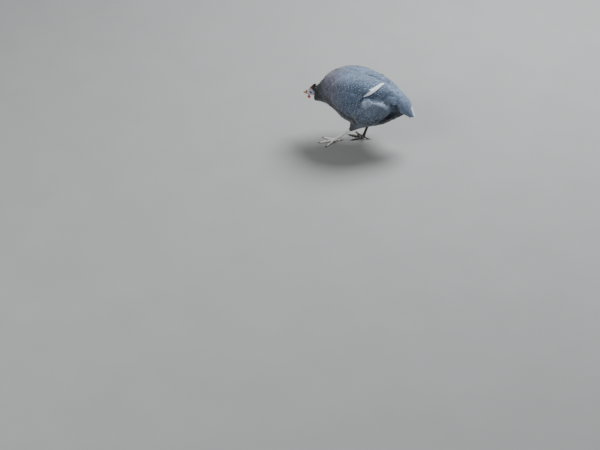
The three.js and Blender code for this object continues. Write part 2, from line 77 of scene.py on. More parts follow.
HEAD = np.array([
    (-19, -2.5, 10, 11, 9.5), (-14, -1.2, 13.2, 13.6, 12.2), (-7, 0, 15, 15, 13.8), (1, 0, 14.4, 14.8, 13.6),
    (8, -1, 11.8, 12.2, 11.2), (13.5, -2.2, 9, 9, 8.6), (17, -3, 6, 6, 5.8)], float)
CASQUE = np.array([
    (10, -6, 11, 6.8), (15, -7.6, 9.8, 6), (19, -10.2, 7.8, 5), (23, -13.4, 6, 4.1), (26.5, -16.6, 4.4, 3.2), (28.6, -18.5, 2.7, 2.1)], float)
CASQUE_TOP = (-19.2, 29.5)
BILL_UPPER = np.array([(8, 5.4, -4, 6.6), (14, 5, -4.3, 6.1), (20, 4, -4.6, 5.2), (25.5, 2, -5.2, 4.1), (30, -1, -6.3, 2.8), (33, -4.2, -8, 1.5)], float)
BILL_LOWER = np.array([(8, -4.8, -10.4, 6), (14, -4.9, -10.4, 5.5), (20, -5.2, -10.2, 4.5), (25, -5.8, -9.5, 3.1), (28, -6.5, -8.8, 1.6)], float)
WATTLE = dict(x=11.5, z=-15.5, side=8.4, long=5.6, high=7.4, thick=1.7, splay=16, back=14)
SHANK = np.array([(-.07, 5.2, 4.8), (0, 7.2, 6.4), (.09, 6.3, 5.6), (.25, 4.9, 4.3), (.55, 4.7, 4.2), (.8, 5.2, 5), (.93, 6.2, 6.6), (1, 6.6, 7)], float)
TOES = {"middle": (0, 54, 4.6, 3), "inner": (-38, 42, 4.2, 2), "outer": (36, 44, 4.2, 3), "back": (172, 19, 3.6, 1)}
CLAW_LONG = 10.5
EYE = dict(x=0.6, z=3.4, side=9.4, r=5.3)
LEGS = {
    "left": dict(side=-1, pts=[(46, -38, 190), (28, -57, 164), (4, -49, 133), (-16, -40, 101), (-29, -33, 77), (-36, -30, 65.5)],
                 foot=(-95, -26, 6.6), out=27),
    "right": dict(side=1, pts=[(46, 38, 190), (41, 57, 164), (34, 49, 132), (26, 40, 106), (21.5, 34, 89), (21, 31, 81)],
                  foot=(0, 15, 6.6), out=8),
}
THIGH = [(30, 20), (48, 35), (38, 33), (23, 21), (12.5, 12), (8.4, 8)]
COAT = 8.0                      # depth of the coat on the trunk


def curve(values, at):
    """smooth value at fractional rows of a table"""
    v = np.asarray(values, float)
    n = len(v) - 1
    pad = np.concatenate([[2 * v[0] - v[1]], v, [2 * v[-1] - v[-2]]])
    t = np.clip(np.asarray(at, float), 0, n)
    i = np.minimum(np.floor(t).astype(int), n - 1)
    f = t - i
    p0, p1, p2, p3 = pad[i], pad[i + 1], pad[i + 2], pad[i + 3]
    m1, m2 = (p2 - p0) / 2, (p3 - p1) / 2
    f2, f3 = f * f, f * f * f
    return (2 * f3 - 3 * f2 + 1) * p1 + (f3 - 2 * f2 + f) * m1 + (-2 * f3 + 3 * f2) * p2 + (f3 - f2) * m2


def power(v, p):
    return np.sign(v) * np.abs(v) ** p


def smooth(a, b, v):
    t = np.clip((np.asarray(v, float) - a) / (b - a), 0, 1)
    return t * t * (3 - 2 * t)


def unit(v):
    return v / np.maximum(np.linalg.norm(v, axis=-1, keepdims=True), 1e-12)


def head_point(x, y, z):
    """head frame (x along the bill, z up) to the bird's frame"""
    c, s = math.cos(HEAD_DIP), math.sin(HEAD_DIP)
    x, y, z = np.broadcast_arrays(*(np.asarray(a, float) for a in (x, y, z)))
    return np.stack([HEAD_AT[0] - x * c - z * s, y, HEAD_AT[1] - x * s + z * c], -1)


# the solids stand with their box over the origin: find that shift from the eyes
def _shift():
    lo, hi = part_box("eye_left")
    centre = np.array((lo + hi) / 2) * 1000
    return centre - head_point(EYE["x"], -EYE["side"], EYE["z"])


SHIFT = _shift()


def world(p):
    return (np.asarray(p, float) + SHIFT) * 0.001


def body_point(at, deg, grow=0.0):
    lean = np.radians(curve(BODY["lean"], at))
    s, c = np.sin(np.radians(deg)), np.cos(np.radians(deg))
    w = curve(BODY["wide"], at) + grow
    h = np.where(c > 0, curve(BODY["up"], at), curve(BODY["down"], at)) + grow
    y = w * power(s, 0.96)
    z = h * power(c, 0.96)
    return np.stack([curve(BODY["x"], at) + z * np.sin(lean), y, curve(BODY["z"], at) + z * np.cos(lean)], -1)


def head_ring(hx, deg, grow=0.0):
    i = np.interp(hx, HEAD[:, 0], np.arange(len(HEAD)))
    c, sn = np.cos(np.radians(deg)), np.sin(np.radians(deg))
    h = np.where(c > 0, curve(HEAD[:, 2], i), curve(HEAD[:, 3], i)) + grow
    return head_point(hx, (curve(HEAD[:, 4], i) + grow) * sn, curve(HEAD[:, 1], i) + h * c)


def neck_point(at, deg, grow=0.0, head_grow=0.0):
    """the body's loft, running into the back of the head at its front end"""
    body = body_point(np.maximum(at, 0), deg, grow)
    head = head_ring(-5 - 8 * np.clip(at, 0, 1.4), deg, head_grow)
    w = smooth(0.0, 1.4, at)[..., None]
    return head + (body - head) * w


# ------------------------------------------------------------------ a surface as a grid
class Sheet:
    """closed-round surface sampled on a grid: a runs along, deg runs round"""

    def __init__(self, points, a0, a1):
        self.P = points                       # (na, nd, 3), wraps in the second index
        self.a0, self.a1 = a0, a1
        self.na, self.nd = points.shape[:2]
        da = np.gradient(points, axis=0) * (self.na - 1) / (a1 - a0)
        dd = (np.roll(points, -1, 1) - np.roll(points, 1, 1)) / (2 * 360 / self.nd)
        self.Ta, self.Td = da, dd
        self.speed = np.linalg.norm(da, axis=-1).mean(1)
        n = np.cross(dd, da)
        centre = points.mean(1, keepdims=True)
        flip = np.sign(np.sum(n * (points - centre), -1).mean())
        self.N = unit(n * flip)

    def sample(self, grid, a, deg):
        t = np.clip((np.asarray(a, float) - self.a0) / (self.a1 - self.a0), 0, 1) * (self.na - 1)
        i = np.minimum(np.floor(t).astype(int), self.na - 2)
        f = (t - i)[..., None]
        u = (np.asarray(deg, float) % 360) / 360 * self.nd
        j = np.floor(u).astype(int)
        g = (u - j)[..., None]
        j0, j1 = j % self.nd, (j + 1) % self.nd
        return ((grid[i, j0] * (1 - g) + grid[i, j1] * g) * (1 - f)
                + (grid[i + 1, j0] * (1 - g) + grid[i + 1, j1] * g) * f)

    def at(self, a, deg, height=0.0):
        a = np.asarray(a, float)
        p = self.sample(self.P, a, deg)
        over = a - np.clip(a, self.a0, self.a1)
        if np.any(over != 0):
            p = p + over[..., None] * self.sample(self.Ta, a, deg)
        return p + unit(self.sample(self.N, a, deg)) * np.asarray(height, float)[..., None]

    def frame(self, a, deg):
        return self.sample(self.Ta, a, deg), self.sample(self.Td, a, deg), unit(self.sample(self.N, a, deg))


def blur(g, sigma_rows, sigma_cols):
    def kernel(s):
        k = np.arange(-int(3 * s), int(3 * s) + 1)
        w = np.exp(-k * k / (2 * s * s))
        return k, w / w.sum()
    k, w = kernel(sigma_cols)
    g = sum(wi * np.roll(g, ki, 1) for ki, wi in zip(k, w))
    k, w = kernel(sigma_rows)
    idx = np.arange(g.shape[0])
    return sum(wi * g[np.clip(idx + ki, 0, g.shape[0] - 1)] for ki, wi in zip(k, w))


def mound_at(a, phi):
    """distance from the middle of the fluffed flank over the thigh; its rim is at 1"""
    return np.hypot((a - 8.8) / 2.1, (phi - 91) / 33)


def gap_at(a, phi):
    """0..1 in the dark hollow between the flank's hind rim and the tail"""
    m = mound_at(a, phi)
    return np.exp(-((m - 1.16) / 0.17) ** 2) * smooth(9.5, 10.4, a) * smooth(56, 74, phi) * (1 - smooth(112, 130, phi))


def body_sheet():
    """outline of the coat: the trunk's loft, swollen by the wings and thighs that lie on it"""
    na, nd = 300, 216
    a = np.linspace(0, 13, na)[:, None] * np.ones((1, nd))
    d = np.ones((na, 1)) * np.linspace(0, 360, nd, endpoint=False)[None]
    base = Sheet(neck_point(a, d, 0.0, 0.7), 0, 13)
    bump = np.zeros((na, nd))
    for names, cap in ((("wing_left", "wing_right"), 9.0), (("thigh_left", "thigh_right"), 9.0)):
        verts, polys = [], []
        for n in names:
            m = NODES[n].data
            k = len(verts)
            verts += [v.co.copy() for v in m.vertices]
            polys += [[k + v for v in p.vertices] for p in m.polygons]
        tree = BVHTree.FromPolygons(verts, polys)
        start = world(base.P + base.N * 45)
        for i in range(60, na):
            for j in range(nd):
                hit = tree.ray_cast(Vector(start[i, j]), Vector(-base.N[i, j]), 0.06)
                if hit[0] is not None:
                    h = 45 - hit[3] * 1000
                    if 0 < h:
                        bump[i, j] = max(bump[i, j], min(h, cap) if h < 26 else 4.0)
    bump = blur(bump, 3.2, 2.4)
    phi = np.abs((d + 180) % 360 - 180)
    bump = bump + 9.5 * (1 - smooth(0.68, 1.04, mound_at(a, phi))) * (1 - 0.5 * smooth(95, 125, phi))
    bump = bump - 2.0 * np.exp(-((a - 8.2) / 1.8) ** 2) * np.exp(-((phi - 55) / 5.5) ** 2)
    bump = bump - 9.0 * gap_at(a, phi)
    return Sheet(base.P + base.N * bump[..., None], 0, 13), base, bump[..., None]


BODY_SHEET, PLAIN_SHEET, BUMP = body_sheet()


def tail_sheet():
    na, nd = 60, 72
    a = np.linspace(0, 5, na)[:, None] * np.ones((1, nd))
    d = np.radians(np.ones((na, 1)) * np.linspace(0, 360, nd, endpoint=False)[None])
    lean = np.radians(curve(TAIL["lean"], a))
    y = curve(TAIL["wide"], a) * power(np.sin(d), 0.9)
    z = curve(TAIL["thick"], a) * power(np.cos(d), 0.9) - TAIL_ROOF * y * y
    return Sheet(np.stack([curve(TAIL["x"], a) + z * np.sin(lean), y, curve(TAIL["z"], a) + z * np.cos(lean)], -1), 0, 5)


TAIL_SHEET = tail_sheet()


def head_sheet():
    """the head from bill to nape: along it, minus the head's own x"""
    b, d = np.meshgrid(np.linspace(-14, 14, 80), np.linspace(0, 360, 120, endpoint=False), indexing="ij")
    return Sheet(head_ring(-b, d), -14, 14)


HEAD_SHEET = head_sheet()


def limb_sheet(points, sizes, a0=0.0, a1=None, na=90, nd=48, swell=None):
    """tube along points; round the limb, deg 0 is its front"""
    p = np.array(points, float)
    s = np.array(sizes, float)
    last = len(p) - 1
    a1 = last if a1 is None else a1
    a = np.linspace(a0, a1, na)
    c = np.stack([curve(p[:, k], a) for k in range(3)], -1)
    t = unit(np.gradient(c, axis=0))
    flat = np.array([0.0, 1, 0])
    side = unit(flat - (t @ flat)[:, None] * t)
    fore = np.cross(side, t)
    d = np.radians(np.linspace(0, 360, nd, endpoint=False))
    ra, rb = curve(s[:, 0], a)[:, None], curve(s[:, 1], a)[:, None]
    if swell is not None:
        k = swell(a[:, None], np.degrees(d)[None])
        ra, rb = ra + k, rb + k
    pts = c[:, None] + fore[:, None] * (ra * np.cos(d))[..., None] + side[:, None] * (rb * np.sin(d))[..., None]
    return Sheet(pts, a0, a1)


# ------------------------------------------------------------------ mesh helpers
def link(obj):
    bpy.context.scene.collection.objects.link(obj)
    return obj


def mesh_object(name, verts, tris, colours=None, uvs=None, material=None, smooth_faces=True, vane=None):
    """triangles with a colour per corner and a map named OFBake"""
    me = bpy.data.meshes.new(name)
    nv, nt = len(verts), len(tris)
    me.vertices.add(nv)
    me.vertices.foreach_set("co", np.asarray(verts, np.float32).ravel())
    me.loops.add(nt * 3)
    me.loops.foreach_set("vertex_index", np.asarray(tris, np.int32).ravel())
    me.polygons.add(nt)
    me.polygons.foreach_set("loop_start", np.arange(0, nt * 3, 3, dtype=np.int32))
    me.polygons.foreach_set("loop_total", np.full(nt, 3, np.int32))
    me.polygons.foreach_set("use_smooth", np.full(nt, smooth_faces, bool))
    me.update(calc_edges=True)
    if uvs is not None:
        layer = me.uv_layers.new(name="OFBake")
        layer.data.foreach_set("uv", np.asarray(uvs, np.float32).ravel())
    if vane is not None:
        layer = me.uv_layers.new(name="vane")
        layer.data.foreach_set("uv", np.asarray(vane, np.float32).ravel())
    if colours is not None:
        att = me.color_attributes.new("Col", "FLOAT_COLOR", "CORNER")
        c = np.ones((nt * 3, 4), np.float32)
        c[:, :3] = np.asarray(colours, np.float32).reshape(-1, 3)
        att.data.foreach_set("color", c.ravel())
    if material:
        me.materials.append(material)
    me.validate(clean_customdata=False)
    return link(bpy.data.objects.new(name, me))


def grid_tris(rows, cols, wrap=True, offset=0, flip=False):
    r = np.arange(rows - 1)[:, None]
    c = np.arange(cols if wrap else cols - 1)[None]
    c2 = (c + 1) % cols
    a, b, d, e = r * cols + c, r * cols + c2, (r + 1) * cols + c, (r + 1) * cols + c2
    t = np.stack([np.stack([a, b, e], -1), np.stack([a, e, d], -1)], 2).reshape(-1, 3) + offset
    return t[:, ::-1] if flip else t


def linear(rgb):
    c = np.asarray(rgb, float) / 255
    return np.where(c <= 0.04045, c / 12.92, ((c + 0.055) / 1.055) ** 2.4)


# ------------------------------------------------------------------ materials
def new_material(name, rough=0.7, spec=0.4, sheen=0.0):
    m = bpy.data.materials.new(name)
    m.use_nodes = True
    nt = m.node_tree
    b = nt.nodes["Principled BSDF"]
    b.inputs["Roughness"].default_value = rough
    b.inputs["Specular IOR Level"].default_value = spec
    if sheen:
        b.inputs["Sheen Weight"].default_value = sheen
        b.inputs["Sheen Roughness"].default_value = 0.5
    return m, nt, b


def node(nt, kind, **props):
    n = nt.nodes.new(kind)
    for k, v in props.items():
        if k in n.inputs.keys():
            n.inputs[k].default_value = v
        else:
            setattr(n, k, v)
    return n


def feather_material():
    m, nt, b = new_material("plumage", rough=0.68, spec=0.18, sheen=0.32)
    col = node(nt, "ShaderNodeVertexColor", layer_name="Col")
    geo = node(nt, "ShaderNodeTexCoord")
    vane = node(nt, "ShaderNodeUVMap", uv_map="vane")
    # very fine pale and dark flecks, and clumps of barbs running out and back from the shaft
    fine = node(nt, "ShaderNodeTexNoise", Scale=1300.0, Detail=3.0, Roughness=0.65)
    soft = node(nt, "ShaderNodeTexNoise", Scale=70.0, Detail=2.0)
    nt.links.new(geo.outputs["Object"], fine.inputs["Vector"])
    nt.links.new(geo.outputs["Object"], soft.inputs["Vector"])
    barbs = node(nt, "ShaderNodeCombineXYZ")
    for k, way in enumerate(((-0.64, 0.77, 0), (0.09, 0.075, 0))):
        dot = node(nt, "ShaderNodeVectorMath", operation="DOT_PRODUCT")
        nt.links.new(vane.outputs["UV"], dot.inputs[0])
        dot.inputs[1].default_value = way
        nt.links.new(dot.outputs["Value"], barbs.inputs[k])
    barb = node(nt, "ShaderNodeTexNoise", Scale=1250.0, Detail=3.0, Roughness=0.6)
    nt.links.new(barbs.outputs["Vector"], barb.inputs["Vector"])
    apart = node(nt, "ShaderNodeSeparateXYZ")
    nt.links.new(vane.outputs["UV"], apart.inputs["Vector"])
    shaft = node(nt, "ShaderNodeMapRange")
    shaft.inputs["From Min"].default_value, shaft.inputs["From Max"].default_value = 0.00012, 0.0004
    shaft.inputs["To Min"].default_value, shaft.inputs["To Max"].default_value = 0.62, 1.0
    nt.links.new(apart.outputs["X"], shaft.inputs["Value"])

    def ranged(src, lo, hi):
        r = node(nt, "ShaderNodeMapRange")
        r.inputs["From Min"].default_value, r.inputs["From Max"].default_value = 0.3, 0.7
        r.inputs["To Min"].default_value, r.inputs["To Max"].default_value = lo, hi
        nt.links.new(src, r.inputs["Value"])
        return r.outputs[0]

    def times(a, c):
        n = node(nt, "ShaderNodeMath", operation="MULTIPLY")
        nt.links.new(a, n.inputs[0])
        nt.links.new(c, n.inputs[1])
        return n.outputs[0]

    k = times(times(ranged(fine.outputs["Fac"], 0.84, 1.16), ranged(soft.outputs["Fac"], 0.9, 1.1)), ranged(barb.outputs["Fac"], 0.66, 1.34))
    k = times(k, shaft.outputs[0])
    mix = node(nt, "ShaderNodeVectorMath", operation="SCALE")
    nt.links.new(col.outputs["Color"], mix.inputs[0])
    nt.links.new(k, mix.inputs["Scale"])
    nt.links.new(mix.outputs[0], b.inputs["Base Color"])
    bump = node(nt, "ShaderNodeBump", Strength=0.5, Distance=0.00025)
    nt.links.new(barb.outputs["Fac"], bump.inputs["Height"])
    nt.links.new(bump.outputs[0], b.inputs["Normal"])
    return m


def surface_material(name, rough, spec, scale, depth, vary=0.15, coat=0.0, strength=0.5, detail=4.0):
    """colour from the mesh, broken up by noise, with a fine relief"""
    m, nt, b = new_material(name, rough=rough, spec=spec)
    if coat:
        b.inputs["Coat Weight"].default_value = coat
        b.inputs["Coat Roughness"].default_value = 0.15
    col = node(nt, "ShaderNodeVertexColor", layer_name="Col")
    geo = node(nt, "ShaderNodeTexCoord")
    n1 = node(nt, "ShaderNodeTexNoise", Scale=scale, Detail=detail, Roughness=0.6)
    nt.links.new(geo.outputs["Object"], n1.inputs["Vector"])
    r = node(nt, "ShaderNodeMapRange")
    r.inputs["From Min"].default_value, r.inputs["From Max"].default_value = 0.3, 0.7
    r.inputs["To Min"].default_value, r.inputs["To Max"].default_value = 1 - vary, 1 + vary
    nt.links.new(n1.outputs["Fac"], r.inputs["Value"])
    mix = node(nt, "ShaderNodeVectorMath", operation="SCALE")
    nt.links.new(col.outputs["Color"], mix.inputs[0])
    nt.links.new(r.outputs[0], mix.inputs["Scale"])
    nt.links.new(mix.outputs[0], b.inputs["Base Color"])
    rr = node(nt, "ShaderNodeMapRange")
    rr.inputs["To Min"].default_value, rr.inputs["To Max"].default_value = max(rough - 0.1, 0.05), min(rough + 0.12, 1)
    nt.links.new(n1.outputs["Fac"], rr.inputs["Value"])
    nt.links.new(rr.outputs[0], b.inputs["Roughness"])
    n2 = node(nt, "ShaderNodeTexVoronoi", Scale=scale * 1.6)
    nt.links.new(geo.outputs["Object"], n2.inputs["Vector"])
    bump = node(nt, "ShaderNodeBump", Strength=strength, Distance=depth)
    nt.links.new(n2.outputs["Distance"], bump.inputs["Height"])
    nt.links.new(bump.outputs[0], b.inputs["Normal"])
    return m


MAT_FEATHER = feather_material()
MAT_SKIN = surface_material("bare_skin", 0.5, 0.4, 900.0, 0.0002, 0.08)
MAT_HORN = surface_material("horn", 0.55, 0.35, 420.0, 0.0001, 0.2, strength=0.3)
MAT_BILL = surface_material("bill", 0.38, 0.45, 420.0, 0.00006, 0.1, coat=0.15, strength=0.2)
MAT_EYE = surface_material("eye", 0.06, 0.6, 300.0, 0.00002, 0.05, coat=1.0, strength=0.02)
MAT_CLAW = surface_material("claw", 0.35, 0.5, 600.0, 0.0001, 0.2, coat=0.25, strength=0.3)

# colours (sRGB 0-255)
SLATE = linear((74, 88, 107))
SLATE_PALE = linear((102, 117, 138))
SLATE_DARK = linear((42, 48, 58))
COLLAR = linear((95, 94, 108))
NAPE = linear((28, 29, 34))
SPOT = linear((156, 169, 186))
WHITE = linear((242, 249, 255))


# ------------------------------------------------------------------ vanes
def vane_template(outline, spots, ring=0.0, inner=None, seed=0, n_side=7):
    """flat vane with its spots as faces of their own.
    outline: (n,2) points, x across -1..1, y along 0..1; spots: (x, y, rx, ry).
    Returns verts (n,2), tris (m,3), code per tri: 0 vane, 1 spot, 2 ring"""
    pts, edges = [], []

    def loop(p):
        k = len(pts)
        pts.extend([Vector((float(a), float(b))) for a, b in p])
        edges.extend([(k + i, k + (i + 1) % len(p)) for i in range(len(p))])

    loop(outline)
    for (x, y, rx, ry) in spots:
        ang = np.linspace(0, 2 * math.pi, n_side, endpoint=False) + seed * 0.3
        loop(np.stack([x + rx * np.cos(ang), y + ry * np.sin(ang)], 1))
        if ring:
            loop(np.stack([x + rx * (1 + ring) * np.cos(ang + 0.4), y + ry * (1 + ring) * np.sin(ang + 0.4)], 1))
    if inner is not None:
        for a, b in inner:
            if all(((a - x) / (rx * (1.3 + ring))) ** 2 + ((b - y) / (ry * (1.3 + ring))) ** 2 > 1 for x, y, rx, ry in spots):
                pts.append(Vector((float(a), float(b))))
    out = delaunay_2d_cdt(pts, edges, [list(range(len(outline)))], 1, 1e-5)
    v = np.array([[p.x, p.y] for p in out[0]])
    t = np.array([f for f in out[2] if len(f) == 3], int)
    c = v[t].mean(1)
    code = np.zeros(len(t), int)
    for (x, y, rx, ry) in spots:
        d = np.sqrt(((c[:, 0] - x) / rx) ** 2 + ((c[:, 1] - y) / ry) ** 2)
        code[(d < 1 + ring) & (code == 0) & (ring > 0)] = 2
        code[d < 0.99] = 1
    # counter-clockwise in (x, y)
    a, b, d = v[t[:, 0]], v[t[:, 1]], v[t[:, 2]]
    area = (b[:, 0] - a[:, 0]) * (d[:, 1] - a[:, 1]) - (b[:, 1] - a[:, 1]) * (d[:, 0] - a[:, 0])
    t[area < 0] = t[area < 0][:, ::-1]
    keep = np.abs(area) > 1e-7
    return v, t[keep], code[keep]


def contour_outline(root=0.35, ragged=0.012, tip=0.55, seed=0, splits=3, deep=0.2, point=1.0):
    """rounded body feather, widest past the middle, its free edge split in a few places"""
    r = np.random.default_rng(seed)
    y = np.array([0, 0.14, 0.28, 0.42])
    w = root + (1 - root) * np.sin(y / tip * math.pi / 2)
    at = np.linspace(0.15, 2.99, splits + 2)[1:-1] + r.uniform(-0.6, 0.6, splits) * 2.84 / (splits + 1)
    turn = np.linspace(0.05, math.pi - 0.05, 15)
    turn = turn[np.min(np.abs(turn[:, None] - at[None]), axis=1) > 0.13]
    wide = r.uniform(0.03, 0.09, splits)
    every = np.concatenate([turn, at - wide, at, at + wide])
    cut = np.concatenate([np.zeros(len(turn) + splits), deep * r.uniform(0.4, 1.3, splits), np.zeros(splits)])
    order = np.argsort(every)
    every, cut = every[order], cut[order]
    arc = np.stack([np.sign(np.cos(every)) * np.abs(np.cos(every)) ** point, tip + (1 - tip) * np.sin(every)], 1)
    arc = arc + r.normal(0, ragged, arc.shape) * (cut == 0)[:, None]
    arc = arc + (np.array([0, tip - 0.2]) - arc) * cut[:, None]
    p = np.concatenate([np.stack([w, y], 1), arc, np.stack([-w, y], 1)[::-1]])
    p[:, 1] = np.clip(p[:, 1], 0, 1.03)
    return p


def contour_templates(kind, count=10):
    out = []
    for i in range(count):
        r = np.random.default_rng(100 * len(kind) + i)
        o = contour_outline(seed=i + 7, splits=6, deep=0.3, point=1.3, tip=0.5) if kind == "plain" else contour_outline(seed=i + 20)
        inner = [(x, y) for y in (0.2, 0.42, 0.6, 0.78) for x in (-0.45, 0.0, 0.45)]
        spots = []
        size = {"plain": 0, "fine": 0.095, "mid": 0.112, "big": 0.145, "cover": 0.125}[kind]
        if size:
            if kind == "cover":                        # longer than wide: more rows of rounder spots
                marks = ((0.36, (-0.5, 0.5)), (0.47, (0.0,)), (0.58, (-0.54, 0.54)), (0.70, (0.0, )), (0.80, (-0.52, 0.52)))
                flat = 0.3
            else:
                marks = ((0.50, (-0.5, 0.5)), (0.67, (0.0,)), (0.81, (-0.42, 0.42)))
                flat = 0.5
            for y, xs in marks:
                for x in xs:
                    k = size * r.uniform(0.72, 1.15)
                    if r.random() > 0.08:
                        spots.append((x + r.normal(0, 0.06), y + r.normal(0, 0.02), k, k * flat))
        out.append(vane_template(o, spots, ring=0.5 if size else 0.0, inner=inner, seed=i, n_side=11 if kind == "cover" else 9 if kind == "mid" else 8))
    return out


TEMPLATES = {k: contour_templates(k) for k in ("plain", "fine", "mid", "big", "cover")}
print("vanes", {k: int(np.mean([len(t[1]) for t in v])) for k, v in TEMPLATES.items()})


class Coat:
    """gathers vanes and writes them as one joined mesh"""

    def __init__(self, name):
        self.name = name
        self.v, self.t, self.c, self.uv, self.w = [], [], [], [], []
        self.n = 0

    def add(self, pos, tris, code, base, tip_light, spot, uv_root, local, length, width, patch=0.0032, root_shade=0.78):
        """pos (F,V,3) mm; tris (T,3); code (T,); base (F,3) colour; uv_root (F,2); local (V,2)"""
        F, V = pos.shape[:2]
        T = len(tris)
        idx = (np.arange(F)[:, None, None] * V + tris[None]) + self.n
        self.v.append(world(pos.reshape(-1, 3)))
        self.t.append(idx.reshape(-1, 3))
        self.n += F * V
        y = local[tris][:, :, 1]                                   # (T,3)
        shade = (root_shade + (1 - root_shade) * np.clip(y / 0.45, 0, 1)) * (1 + tip_light * np.clip((y - 0.55) / 0.45, 0, 1))
        edge = np.clip(np.abs(local[tris][:, :, 0]), 0, 1)
        shade = shade * (1 + 0.10 * edge ** 2)
        col = base[:, None, None] * shade[None, :, :, None]
        is_spot, is_ring = code == 1, code == 2
        col[:, is_spot] = spot[:, None, None] if np.ndim(spot) > 1 else spot
        if is_ring.any():
            col[:, is_ring] = (base * 0.38)[:, None, None]
        self.c.append(col.reshape(-1, 3).astype(np.float32))
        uv = uv_root[:, None, None] + ((local[tris] - [0, 0.5]) * [0.5, 1.0])[None] * patch
        uv = np.clip(uv, 0.022, 0.995)
        centre = np.array([0.006, 0.006]) + 0.002 * (local[tris] - [0, 0.5])
        uv[:, is_spot] = centre[is_spot]
        self.uv.append(uv.reshape(-1, 2).astype(np.float32))
        own = np.abs(local[tris])[None] * np.stack([width * 0.5, length], -1)[:, None, None] * 0.001
        own[..., 1] += rng.uniform(0, 1, (F, 1, 1)) * 0.05
        self.w.append(own.reshape(-1, 2).astype(np.float32))

    def build(self, limit=195000):
        if not self.v:
            return []
        v, t, c, uv, w = (np.concatenate(x) for x in (self.v, self.t, self.c, self.uv, self.w))
        obj = mesh_object(self.name, v, t, c, uv, MAT_FEATHER, vane=w)
        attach(obj, "root")
        print(self.name, len(t), "triangles")
        if len(t) >= 200000:
            raise RuntimeError(self.name + " has too many triangles")
        return [obj]


def place(sheet, a, deg, length, width, turn, root_h, tip_h, template, cup=0.05, roll=0.0, bend=0.0):
    """vanes laid on a sheet. a, deg: roots; turn: degrees from 'along' towards larger deg; heights in mm"""
    v = template[0]
    Ta, Td, N = sheet.frame(a, deg)
    la, ld = np.linalg.norm(Ta, axis=-1), np.linalg.norm(Td, axis=-1)
    la = np.maximum(la, 0.6 * np.interp(a, np.linspace(sheet.a0, sheet.a1, sheet.na), sheet.speed))
    x, y = v[:, 0][None], v[:, 1][None]
    L, W = length[:, None], width[:, None]
    ct, st = np.cos(np.radians(turn))[:, None], np.sin(np.radians(turn))[:, None]
    along = L * y * ct - W * 0.5 * x * st
    round_ = L * y * st + W * 0.5 * x * ct
    aa = a[:, None] + along / la[:, None]
    dd = deg[:, None] + round_ / ld[:, None]
    h = root_h[:, None] + (tip_h - root_h)[:, None] * y ** 0.85 - cup * W * x ** 2 + roll * W * 0.5 * x
    h = h - bend * L * np.clip(y - 0.6, 0, 1) ** 2
    return sheet.at(aa, dd, h)


# ------------------------------------------------------------------ maps for the export
def body_uv(a, deg):
    u = 0.04 + 0.56 * (((np.asarray(deg, float) + 180) % 360) / 360)
    v = 0.04 + 0.62 * (13 - np.asarray(a, float)) / 13
    return np.stack([u, v], -1)


def head_uv(hx, deg):
    u = 0.04 + 0.56 * (((np.asarray(deg, float) + 180) % 360) / 360)
    return np.stack([u, 0.66 + 0.30 * (np.clip(hx, -5, 17) + 5) / 22], -1)


def limb_uv(leg, a, deg, a0=0.0, a1=5.0):
    k = 0 if leg == "left" else 1
    u = 0.64 + 0.17 * k + 0.15 * ((np.asarray(deg, float) % 360) / 360)
    v = 0.55 + 0.40 * (np.asarray(a, float) - a0) / (a1 - a0)
    return np.stack([u, v], -1)


def tail_uv(a, deg):
    u = 0.64 + 0.32 * (((np.asarray(deg, float) + 180) % 360) / 360)
    v = 0.04 + 0.22 * np.asarray(a, float) / 5
    return np.stack([u, v], -1)


# ------------------------------------------------------------------ lie and colour of the body coat
def wing_edges(a):
    i = np.interp(a, WING[:, 0], np.arange(len(WING)))
    return curve(WING[:, 1], i), curve(WING[:, 2], i)


def in_wing(a, deg, margin=0.0):
    phi = np.abs((np.asarray(deg, float) + 180) % 360 - 180)
    top, low = wing_edges(a)
    return (a > WING[0, 0] + 0.25) & (a < WING[-1, 0] - 0.1) & (phi > top + margin) & (phi < low - margin)


def girth(sheet, a):
    p = sheet.at(np.full(180, a), np.linspace(0, 360, 180, endpoint=False))
    return np.linalg.norm(np.roll(p, -1, 0) - p, axis=1).sum()


def rows_along(sheet, a0, a1, squash):
    """rows of roots: place, spacing along, spacing round, how many round"""
    out, a = [], a0
    while a < a1:
        g = girth(sheet, a)
        columns = 46 if a < 8.6 else int(np.clip(round(g / 12.4), 20, 46))
        step = squash * g / columns
        speed = np.linalg.norm(sheet.sample(sheet.Ta, np.full(36, a), np.linspace(0, 350, 36)), axis=1).mean()
        out.append((a, step, g / columns, columns))
        a += step / speed
    return out


